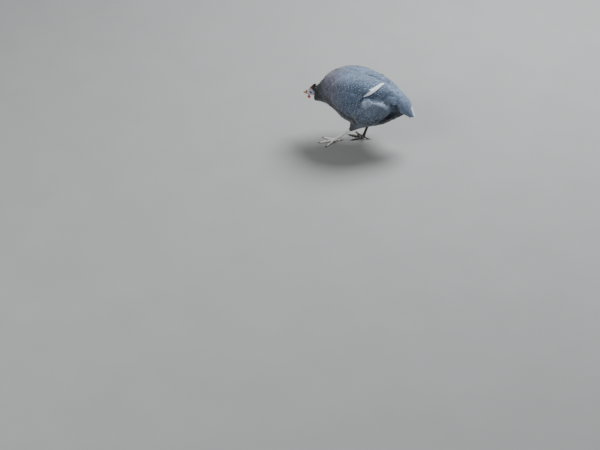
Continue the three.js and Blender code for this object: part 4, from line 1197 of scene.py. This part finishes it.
def shank_mesh(leg):
    L = LEGS[leg]
    an, ft = np.array(L["pts"][5], float), np.array(L["foot"], float)
    na, nd = 170, 56
    t = np.linspace(0, 1, na) ** 1.0
    row = np.interp(t, np.linspace(0, 1, 24), np.linspace(0, len(SHANK) - 1, 24))
    T = curve(SHANK[:, 0], row)
    fore, wide = curve(SHANK[:, 1], row), curve(SHANK[:, 2], row)
    c = an + (ft - an) * T[:, None]
    axis = unit(ft - an)
    sd = unit(np.array([0, 1.0, 0]) - axis * axis[1])
    fr = np.cross(sd, axis)
    if fr[0] > 0:
        fr = -fr
    deg = np.linspace(0, 360, nd, endpoint=False)
    D, TT = np.meshgrid(np.radians(deg), T)
    long = np.linalg.norm(ft - an)
    mm = TT * long
    front = smooth(-0.1, 0.35, np.cos(D))
    # two staggered columns of plates down the front, small scales behind
    column = (np.sin(D) > 0) * 0.5
    plates = scute_height(mm / 4.6 + column) * (1 - 0.8 * np.exp(-(np.sin(D) / 0.09) ** 2))
    hexa = np.cos(2 * math.pi * mm / 2.1) * np.cos(D * 9)
    relief = front * 0.55 * plates + (1 - front) * 0.2 * hexa
    knob = np.exp(-((TT - 0.01) / 0.07) ** 2)
    relief = relief * (1 - 0.6 * knob) + 0.25 * wobble(np.stack([mm, D * 5, mm * 0], -1), 7, 21) * 0.4
    P = c[:, None] + fr * ((fore[:, None] - 0.5 + relief) * np.cos(D))[..., None] + sd * ((wide[:, None] - 0.5 + relief) * np.sin(D))[..., None]
    P[..., 2] = np.maximum(P[..., 2], 0.02)
    v, tr = closed_grid(P, P[0].mean(0) - axis * 1.5, np.maximum(P[-1].mean(0) + axis * 1.5, [-1e3, -1e3, 0.3]))
    col = leg_colour(leg, TT, P, np.where(front > 0.5, plates, 0.5 + 0.5 * hexa))
    col = np.concatenate([col.reshape(-1, 3), [col[0].mean(0)], [col[-1].mean(0)]])
    k = 0 if leg == "left" else 1
    uv = grid_corner_uv(tr, na, nd, (0.64 + 0.17 * k, 0.79 + 0.17 * k), 0.53 - 0.17 * T, 0.5)
    return plain_mesh("shank_skin_" + leg, v, tr, col, uv)


def leg_colour(leg, t, P, plate):
    """legs: the left pale with a few dusky patches; the right dark all over as painted shade from the body, with pale
    patches low on the toes
    """
    plate = np.clip(plate, 0, 1)[..., None]
    w, u = wobble(P, 16, 31)[..., None], wobble(P, 7, 32)[..., None]
    pale = (LEG_DUSK + (LEG_PALE - LEG_DUSK) * (0.35 + 0.65 * plate)) * (1 + 0.10 * w)
    right_painted_shade = LEG_DARK_PAINTED_SHADE * (0.55 + 0.75 * plate) * (1 + 0.18 * w)
    low = 1 - smooth(6, 22, P[..., 2:3])
    if leg == "left":
        return pale + (linear((112, 98, 88)) - pale) * 0.55 * smooth(0.35, 0.8, w + 0.5 * u)
    return right_painted_shade + (linear((158, 146, 130)) * (0.6 + 0.4 * plate) - right_painted_shade) * smooth(0.0, 0.5, w + 0.5 * u) * (0.10 + 0.55 * low)


def toe_path(leg, toe):
    L = LEGS[leg]
    turn, long, r, joints = TOES[toe]
    a = math.radians(L["out"] + turn) * L["side"]
    d = np.array([-math.cos(a), math.sin(a)])

    def path(t):
        t = np.asarray(t, float)
        z = (12 if turn > 90 else 3.5) * (1 - t) ** 2
        return np.stack([L["foot"][0] + d[0] * long * t, L["foot"][1] + d[1] * long * t, z], -1)
    return path, d


def toe_mesh(leg, toe, k):
    turn, long, r0, joints = TOES[toe]
    path, d = toe_path(leg, toe)
    na, nd = 100, 40
    t = np.linspace(0.04, 1.0, na)
    pads = 0.5 - 0.5 * np.cos(2 * math.pi * (joints + 0.5) * t)
    r = r0 * (1 + (0.62 - 1) * t) * (1 + 0.1 * np.cos(2 * math.pi * joints * t))
    end = np.sqrt(np.clip(1 - smooth(0.955, 1.0, t) * 0.75, 0.05, 1))
    c = path(t)
    c[:, 2] += r * 0.86
    side = np.array([-d[1], d[0], 0])
    deg = np.linspace(0, 360, nd, endpoint=False)
    D, TT = np.meshgrid(np.radians(deg), t)
    up = np.cos(D)
    mm = TT * long
    plates = scute_height(mm / 2.7)
    top = smooth(0.15, 0.5, up)
    grain = np.cos(2 * math.pi * mm / 1.6) * np.cos(D * 8)
    relief = top * 0.34 * plates + (1 - top) * 0.10 * grain + (1 - smooth(-0.9, -0.3, up)) * 0.25 * pads[:, None]
    rr = (r * end)[:, None] - 0.3 + relief
    P = np.stack([c[:, 0:1] + side[0] * rr * np.sin(D), c[:, 1:2] + side[1] * rr * np.sin(D), c[:, 2:3] + rr * up], -1)
    P[..., 2] = np.maximum(P[..., 2], 0.02 + 0.05 * (1 - np.abs(np.sin(D))))
    p0 = P[0].mean(0) - np.array([d[0], d[1], 0]) * 1.2
    p1 = P[-1].mean(0) + np.array([d[0], d[1], 0]) * 0.8
    v, tr = closed_grid(P, p0, p1)
    col = leg_colour(leg, TT, P, np.where(top > 0.5, plates, 0.5 + 0.5 * grain))
    col = np.concatenate([col.reshape(-1, 3), [col[0].mean(0)], [col[-1].mean(0)]])
    j = (0 if leg == "left" else 1)
    uv = grid_corner_uv(tr, na, nd, (0.64 + 0.17 * j + 0.0375 * k, 0.64 + 0.17 * j + 0.0375 * k + 0.034), 0.345 - 0.055 * t, 0.5)
    return plain_mesh("toe_skin_%s_%s" % (leg, toe), v, tr, col, uv)


def thigh_skin(leg):
    L = LEGS[leg]
    na, nd = 90, 56
    A, D = np.meshgrid(np.linspace(0.25, 5.0, na), np.linspace(0, 360, nd, endpoint=False), indexing="ij")
    inset = np.interp(A, [0, 2, 3, 4, 4.7, 5], [10, 9, 6.5, 3.4, 1.3, 0.8])
    P = LIMB[leg].at(A, D, -inset)
    v, tr = closed_grid(P, P[0].mean(0), P[-1].mean(0))
    c = (SLATE * 0.7 + (SLATE_DARK * 0.7 - SLATE * 0.7) * smooth(2.2, 4.2, A)[..., None])
    foot_c = leg_colour(leg, A, P, np.ones(A.shape))
    c = c + (foot_c - c) * smooth(4.75, 4.95, A)[..., None]
    c = np.concatenate([c.reshape(-1, 3), [c[0].mean(0)], [c[-1].mean(0)]])
    k = 0 if leg == "left" else 1
    uv = grid_corner_uv(tr, na, nd, (0.64 + 0.17 * k, 0.79 + 0.17 * k), 0.55 + 0.40 * np.linspace(0.25, 5, na) / 5, 0.5)
    return plain_mesh("thigh_skin_" + leg, v, tr, c, uv)


def tail_skin():
    na, nd = 50, 64
    A, D = np.meshgrid(np.linspace(0.2, 4.2, na), np.linspace(0, 360, nd, endpoint=False), indexing="ij")
    inset = np.minimum(np.interp(A, [0, 1.5, 3, 4.2], [7, 6.5, 4.6, 2.2]), 7)
    P = TAIL_SHEET.at(A, D, -inset)
    v, tr = closed_grid(P, P[0].mean(0), P[-1].mean(0))
    c = SLATE_PALE * 0.8 + np.zeros(P.shape)
    c = np.concatenate([c.reshape(-1, 3), [c[0, 0]], [c[0, 0]]])
    uv = grid_corner_uv(tr, na, nd, (0.64, 0.96), 0.04 + 0.22 * np.linspace(0.2, 4.2, na) / 5, 0.5)
    return plain_mesh("tail_skin", v, tr, c, uv)


def wattle_mesh(side):
    W = WATTLE
    na, nd = 40, 56
    lat = np.linspace(0.03, math.pi - 0.03, na)
    lon = np.linspace(0, 2 * math.pi, nd, endpoint=False)
    La, Lo = np.meshgrid(lat, lon, indexing="ij")
    ux, uy, uz = np.sin(La) * np.cos(Lo), np.cos(La), np.sin(La) * np.sin(Lo)
    x = ux * W["long"] * (1 - 0.28 * uy)
    y = uz * W["thick"] * (1 + 0.10 * np.sin(6 * ux + 3 * uy))
    z = uy * W["high"]
    y = y + 0.045 * x * x + 0.18 * np.sin(1.5 * z) * (1 - uy) * 0.5
    sp, bk = math.radians(W["splay"]), math.radians(W["back"])
    y2, z2 = y * math.cos(sp) - z * math.sin(sp), y * math.sin(sp) + z * math.cos(sp)
    x3, z3 = x * math.cos(bk) + z2 * math.sin(bk), -x * math.sin(bk) + z2 * math.cos(bk)
    P = head_point(W["x"] + x3, side * (W["side"] + y2), W["z"] + z3)
    P = P + unit(P - P.mean((0, 1))) * (0.12 * wobble(P, 1.6, 41) + 0.08 * wobble(P, 0.9, 42))[..., None]
    v, tr = closed_grid(P, P[0].mean(0), P[-1].mean(0))
    k = smooth(-0.9, 0.55, -uy)[..., None]
    c = FACE_PINK + (RED - FACE_PINK) * k
    c = c * (1 + 0.12 * wobble(P, 2.5, 43)[..., None])
    c = np.concatenate([c.reshape(-1, 3), [c[0].mean(0)], [c[-1].mean(0)]])
    s = 0 if side < 0 else 1
    uv = grid_corner_uv(tr, na, nd, (0.64 + 0.05 * s, 0.685 + 0.05 * s), 0.27 + 0.02 * lat / math.pi, 0.5)
    return plain_mesh("wattle_skin_%d" % side, v, tr, c, uv)


def reach(meshes):
    """corners of the box round meshes, in mm"""
    out = []
    for me in meshes:
        v = np.empty(len(me.vertices) * 3, np.float32)
        me.vertices.foreach_get("co", v)
        out.append(v.reshape(-1, 3) * 1000)
    v = np.concatenate(out)
    return np.array([v.min(0), v.max(0)])


def joined(base, others):
    with bpy.context.temp_override(active_object=base, selected_editable_objects=[base] + others):
        bpy.ops.object.join()
    return base


def union(base, others):
    """one closed skin out of pieces that run into each other"""
    want = reach([o.data for o in [base] + others])
    faces = sum(len(o.data.polygons) for o in [base] + others)
    for o in others:
        m = base.modifiers.new("join", "BOOLEAN")
        m.operation = "UNION"
        m.solver = "EXACT"
        m.object = o
    deps = bpy.context.evaluated_depsgraph_get()
    me = bpy.data.meshes.new_from_object(base.evaluated_get(deps), preserve_all_data_layers=True, depsgraph=deps)
    if len(me.polygons) < 0.75 * faces or np.abs(reach([me]) - want).max() > 1.0:      # a piece was lost: keep them all
        print("skin pieces joined, not united")
        base.modifiers.clear()
        return joined(base, others)
    me.name = "skin"
    obj = link(bpy.data.objects.new("skin", me))
    for o in [base] + others:
        bpy.data.objects.remove(o)
    return obj


def build_skin():
    v, t, col, (vv, n) = body_skin()
    uv = grid_corner_uv(t, len(vv), n, (0.04, 0.60), vv, 0.5)
    base = plain_mesh("body_skin", v, t, col, uv)
    parts = [tail_skin(), wattle_mesh(-1), wattle_mesh(1)]
    for leg in ("left", "right"):
        parts += [thigh_skin(leg), shank_mesh(leg)] + [toe_mesh(leg, toe, k) for k, toe in enumerate(TOES)]
    obj = union(base, parts)
    obj.data.materials.clear()
    obj.data.materials.append(MAT_SKIN)
    obj.data.polygons.foreach_set("use_smooth", np.ones(len(obj.data.polygons), bool))
    print("skin", len(obj.data.polygons), "faces", [u.name for u in obj.data.uv_layers], [c.name for c in obj.data.color_attributes])
    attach(obj, "root")
    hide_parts("trunk", "neck", "head", "tail", "wing_left", "wing_right", "thigh_left", "thigh_right",
                "shank_left", "shank_right", "wattle_left", "wattle_right",
                *["toe_%s_%s" % (l, t) for l in ("left", "right") for t in TOES])
    return obj


# ------------------------------------------------------------------ eyes, bill, casque, claws
def solid_piece(name, v, t, col, mat, replaces=(), uv=None):
    obj = mesh_object(name, world(v), t, np.asarray(col)[t], uv, mat)
    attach(obj, "root")
    if replaces:
        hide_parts(*replaces)
    return obj


def simple_uv(t, rows, cols):
    return grid_corner_uv(t, rows, cols, (0.02, 0.98), np.linspace(0.02, 0.98, rows), 0.0)


def casque_piece():
    na, nd = 90, 80
    row = np.linspace(0, 5, na)
    R, D = np.meshgrid(row, np.linspace(0, 360, nd, endpoint=False), indexing="ij")
    d = np.radians(D)
    z, x = curve(CASQUE[:, 0], R), curve(CASQUE[:, 1], R)
    long, wide = curve(CASQUE[:, 2], R), curve(CASQUE[:, 3], R)
    P = head_point(x + long * np.cos(d), wide * np.sin(d), z + 1.1 * np.cos(d))
    n = Sheet(P, 0, 1).N
    growth = 0.05 * np.sin(z * 3.1 + 1.6 * np.cos(d) + 2 * wobble(P, 9, 50)) + 0.30 * wobble(P, 6.5, 51) + 0.13 * wobble(P, 1.8, 52)
    keel = 0.5 * np.exp(-(np.sin(d) / 0.16) ** 2) * (np.cos(d) > 0)
    P = P + n * (growth + keel - 0.25)[..., None]
    v, t = closed_grid(P, head_point(CASQUE[0, 1], 0, CASQUE[0, 0] - 1), head_point(CASQUE_TOP[0], 0, CASQUE_TOP[1]))
    c = HORN + (HORN_DARK - HORN) * (0.25 + 0.75 * smooth(12, 24, z))[..., None]
    c = c * (1 + 0.22 * wobble(P, 3.2, 53)[..., None]) * (1 + 0.05 * np.sin(z * 3.1)[..., None])
    c = np.concatenate([c.reshape(-1, 3), [c[0, 0]], [c[-1, 0]]])
    return solid_piece("casque_horn", v, t, c, MAT_HORN, ("casque",), simple_uv(t, na, nd))


def bill_piece(name, rows, tip, ridge, node_name):
    na, nd = 110, 72
    r = np.linspace(0, len(rows) - 1, na)
    R, D = np.meshgrid(r, np.linspace(0, 360, nd, endpoint=False), indexing="ij")
    d = np.radians(D)
    c, s = np.cos(d), np.sin(d)
    x, top, low, wide = (curve(rows[:, k], R) for k in range(4))
    if ridge > 0:                                              # the edges of the bill meet
        low = low - 0.3
    else:
        top = top + 0.35
    taper = np.where(ridge * c > 0, 1 - 0.28 * c * c, 1)
    y = wide * power(s, 0.9) * taper
    z = low + (top - low) * (0.5 + 0.5 * power(c, 0.8))
    h = np.stack([x, y, z], -1)
    relief = 0.10 * wobble(h, 4.5, 61) + 0.015 * np.sin(x * 3.4 + 1.5 * z) * smooth(14, 20, x)
    if ridge > 0:
        nost = np.hypot((x - 17.6) / 2.0, (z - 1.4 + 0.12 * (x - 17.6)) / 0.85)
        relief = relief - 1.1 * (1 - smooth(0.55, 1.05, nost)) * (np.abs(s) > 0.3) + 0.35 * np.exp(-((nost - 1.35) / 0.35) ** 2) * (np.abs(s) > 0.3)
        cere = 1 - smooth(19.6, 21.2, x - 0.7 * z)
        relief = relief + 0.30 * cere * smooth(0.1, 0.5, np.abs(s))
    else:
        cere = 1 - smooth(16, 19, x)
    P = head_point(h[..., 0], h[..., 1], h[..., 2])
    n = Sheet(P, 0, 1).N
    P = P + n * (relief - 0.12)[..., None]
    v, t = closed_grid(P, head_point(rows[0, 0] - 1, 0, (rows[0, 1] + rows[0, 2]) / 2), head_point(tip[0], 0, tip[1]))
    col = BILL_TIP + (BILL_BASE - BILL_TIP) * (0.85 * cere + 0.15 * (1 - smooth(20, 30, x)))[..., None]
    # darker towards where the two halves meet: painted shade between them
    col = col * (1 + 0.10 * wobble(h, 2.6, 62)[..., None]) * (0.86 + 0.14 * smooth(-0.3, 0.6, ridge * c))[..., None]
    # nostril darkened: painted shade in its hollow
    if ridge > 0:
        col = col * (1 - 0.85 * (1 - smooth(0.5, 1.0, nost)) * (np.abs(s) > 0.3))[..., None]
    col = np.concatenate([col.reshape(-1, 3), [col[0].mean(0)], [col[-1].mean(0)]])
    return solid_piece(name, v, t, col, MAT_BILL, (node_name,), simple_uv(t, na, nd))


def eye_piece(side, name):
    na, nd = 64, 72
    lat = np.linspace(0.01, math.pi - 0.02, na)
    La, Lo = np.meshgrid(lat, np.linspace(0, 2 * math.pi, nd, endpoint=False), indexing="ij")
    r = EYE["r"] - 0.12 + 0.22 * np.exp(-(La / 0.42) ** 2)              # cornea stands a little proud
    h = np.stack([EYE["x"] + r * np.sin(La) * np.cos(Lo), side * (EYE["side"] + r * np.cos(La)), EYE["z"] + r * np.sin(La) * np.sin(Lo)], -1)
    P = head_point(h[..., 0], h[..., 1], h[..., 2])
    v, t = closed_grid(P, head_point(EYE["x"], side * (EYE["side"] + EYE["r"] + 0.1), EYE["z"]), head_point(EYE["x"], side * (EYE["side"] - EYE["r"]), EYE["z"]))
    q = np.sin(La) * EYE["r"]
    iris = linear((74, 44, 26)) * (1 + 0.35 * np.sin(Lo * 34 + 3 * np.sin(Lo * 7)) * smooth(1.9, 2.4, q))[..., None]
    c = iris + (linear((10, 8, 8)) - iris) * (1 - smooth(1.95, 2.15, q))[..., None]
    c = c + (linear((16, 12, 12)) - c) * smooth(3.7, 4.1, q)[..., None]
    back = (La > 1.5)[..., None]
    c = np.where(back, linear((40, 30, 28)), c)
    c = np.concatenate([c.reshape(-1, 3), [c[0, 0]], [c[-1, 0]]])
    return solid_piece("eyeball_" + name, v, t, c, MAT_EYE, ("eye_" + name,), simple_uv(t, na, nd))


def claw_piece(leg, toe):
    turn, long, r0, joints = TOES[toe]
    path, d = toe_path(leg, toe)
    a = path(0.93)
    na, nd = 44, 28
    t = np.linspace(0, 1, na)
    r = r0 * 0.5 + (0.55 - r0 * 0.5) * t ** 0.8
    tall = r0 * 0.62 * 0.86
    zc = np.maximum(tall * (1 + 0.35 * np.sin(math.pi * t) - 0.62 * t * t), r * 0.95)
    c = np.stack([a[0] + d[0] * (CLAW_LONG + 3) * t, a[1] + d[1] * (CLAW_LONG + 3) * t, zc], -1)
    deg = np.linspace(0, 2 * math.pi, nd, endpoint=False)
    T, D = np.meshgrid(t, deg, indexing="ij")
    side = np.array([-d[1], d[0], 0])
    ridge = 1 + 0.10 * np.exp(-(np.sin(D) / 0.4) ** 2) * (np.cos(D) > 0) - 0.12 * (np.cos(D) < -0.4)
    rr = (r[:, None] + 0.05 * np.sin(T * 40)) * ridge
    P = np.stack([c[:, 0:1] + side[0] * rr * 0.8 * np.sin(D), c[:, 1:2] + side[1] * rr * 0.8 * np.sin(D), c[:, 2:3] + rr * 1.05 * np.cos(D)], -1)
    P[..., 2] = np.maximum(P[..., 2], 0.02)
    end = c[-1] + np.array([d[0], d[1], 0]) * 0.5
    v, tr = closed_grid(P, c[0] - np.array([d[0], d[1], 0]), end)
    # the right claws darker: painted shade, as on the right leg
    dark = linear((52, 44, 40)) if leg == "left" else linear((30, 28, 28))
    pale = linear((150, 132, 112)) if leg == "left" else linear((78, 70, 64))
    col = dark + (pale - dark) * (0.7 * (1 - smooth(0.2, 0.8, T)))[..., None]
    col = col * (1 + 0.15 * wobble(P, 2.4, 71)[..., None])
    col = np.concatenate([col.reshape(-1, 3), [col[0].mean(0)], [col[-1].mean(0)]])
    return solid_piece("claw_horn_%s_%s" % (leg, toe), v, tr, col, MAT_CLAW, ("claw_%s_%s" % (leg, toe),), simple_uv(tr, na, nd))


# ------------------------------------------------------------------ floor, light, camera
def studio():
    me = bpy.data.meshes.new("floor")
    s = 6.0
    me.from_pydata([(-s, -s, 0), (s, -s, 0), (s, s, 0), (-s, s, 0)], [], [(0, 1, 2, 3)])
    floor = link(bpy.data.objects.new("floor", me))
    m, nt, b = new_material("floor", rough=0.85, spec=0.2)
    geo = node(nt, "ShaderNodeTexCoord")
    n = node(nt, "ShaderNodeTexNoise", Scale=6.0, Detail=6.0)
    nt.links.new(geo.outputs["Object"], n.inputs["Vector"])
    ramp = node(nt, "ShaderNodeMix", data_type="RGBA")
    ramp.inputs[6].default_value = (*linear((154, 153, 150)), 1)
    ramp.inputs[7].default_value = (*linear((163, 162, 159)), 1)
    nt.links.new(n.outputs["Fac"], ramp.inputs[0])
    nt.links.new(ramp.outputs[2], b.inputs["Base Color"])
    me.materials.append(m)

    world_ = bpy.data.worlds.new("studio")
    bpy.context.scene.world = world_
    world_.use_nodes = True
    bg = world_.node_tree.nodes["Background"]
    bg.inputs["Color"].default_value = (0.80, 0.90, 1.0, 1)
    bg.inputs["Strength"].default_value = 0.28

    def area(name, at, aim, size, power, colour):
        li = bpy.data.lights.new(name, "AREA")
        li.shape = "DISK"
        li.size = size
        li.energy = power
        li.color = colour
        o = link(bpy.data.objects.new(name, li))
        o.location = at
        o.rotation_euler = (Vector(aim) - Vector(at)).to_track_quat("-Z", "Y").to_euler()
        return o

    area("top", (0.8, 1.45, 2.7), (0, 0, 0.15), 1.7, 170, (0.90, 0.95, 1.0))
    area("side", (-1.8, -2.2, 2.2), (0, 0, 0.15), 1.6, 50, (1.0, 0.98, 0.96))


def camera():
    azim, elev, gap = math.radians(11.0), math.radians(34.0), 4.225
    centre = Vector((0.022, 0.0, 0.190))
    px, py = 365.0 - 300.0, 225.0 - 97.0
    back = Vector((math.sin(azim) * math.cos(elev), -math.cos(azim) * math.cos(elev), math.sin(elev)))
    cam = bpy.data.cameras.new("camera")
    cam.sensor_width = 36.0
    cam.lens = 72.0
    cam.clip_end = 50
    o = link(bpy.data.objects.new("camera", cam))
    o.location = centre + back * gap
    v = Vector((px / 1200.0, py / 1200.0, -1.0)).normalized()
    d = -back
    tilt = math.asin(d.z / math.hypot(v.y, v.z)) - math.atan2(v.y, -v.z)
    flat = Matrix.Rotation(math.pi / 2 + tilt, 3, "X") @ v
    pan = math.atan2(d.y, d.x) - math.atan2(flat.y, flat.x)
    o.rotation_euler = (math.pi / 2 + tilt, 0, pan)
    bpy.context.scene.camera = o
    return o


# ------------------------------------------------------------------ build
studio()
camera()
BODY_COAT = body_coat()
WING_COAT = wing_coat(-1, "left") + wing_coat(1, "right")
TAIL_COAT = tail_coat()
THIGH_COAT = thigh_coat("left") + thigh_coat("right")
bristles()
SKIN = build_skin()
casque_piece()
bill_piece("bill_top", BILL_UPPER, (34.1, -8.3), 1, "bill_upper")
bill_piece("bill_bottom", BILL_LOWER, (29.4, -8.0), -1, "bill_lower")
eye_piece(-1, "left")
eye_piece(1, "right")
for leg_ in ("left", "right"):
    for toe_ in TOES:
        claw_piece(leg_, toe_)
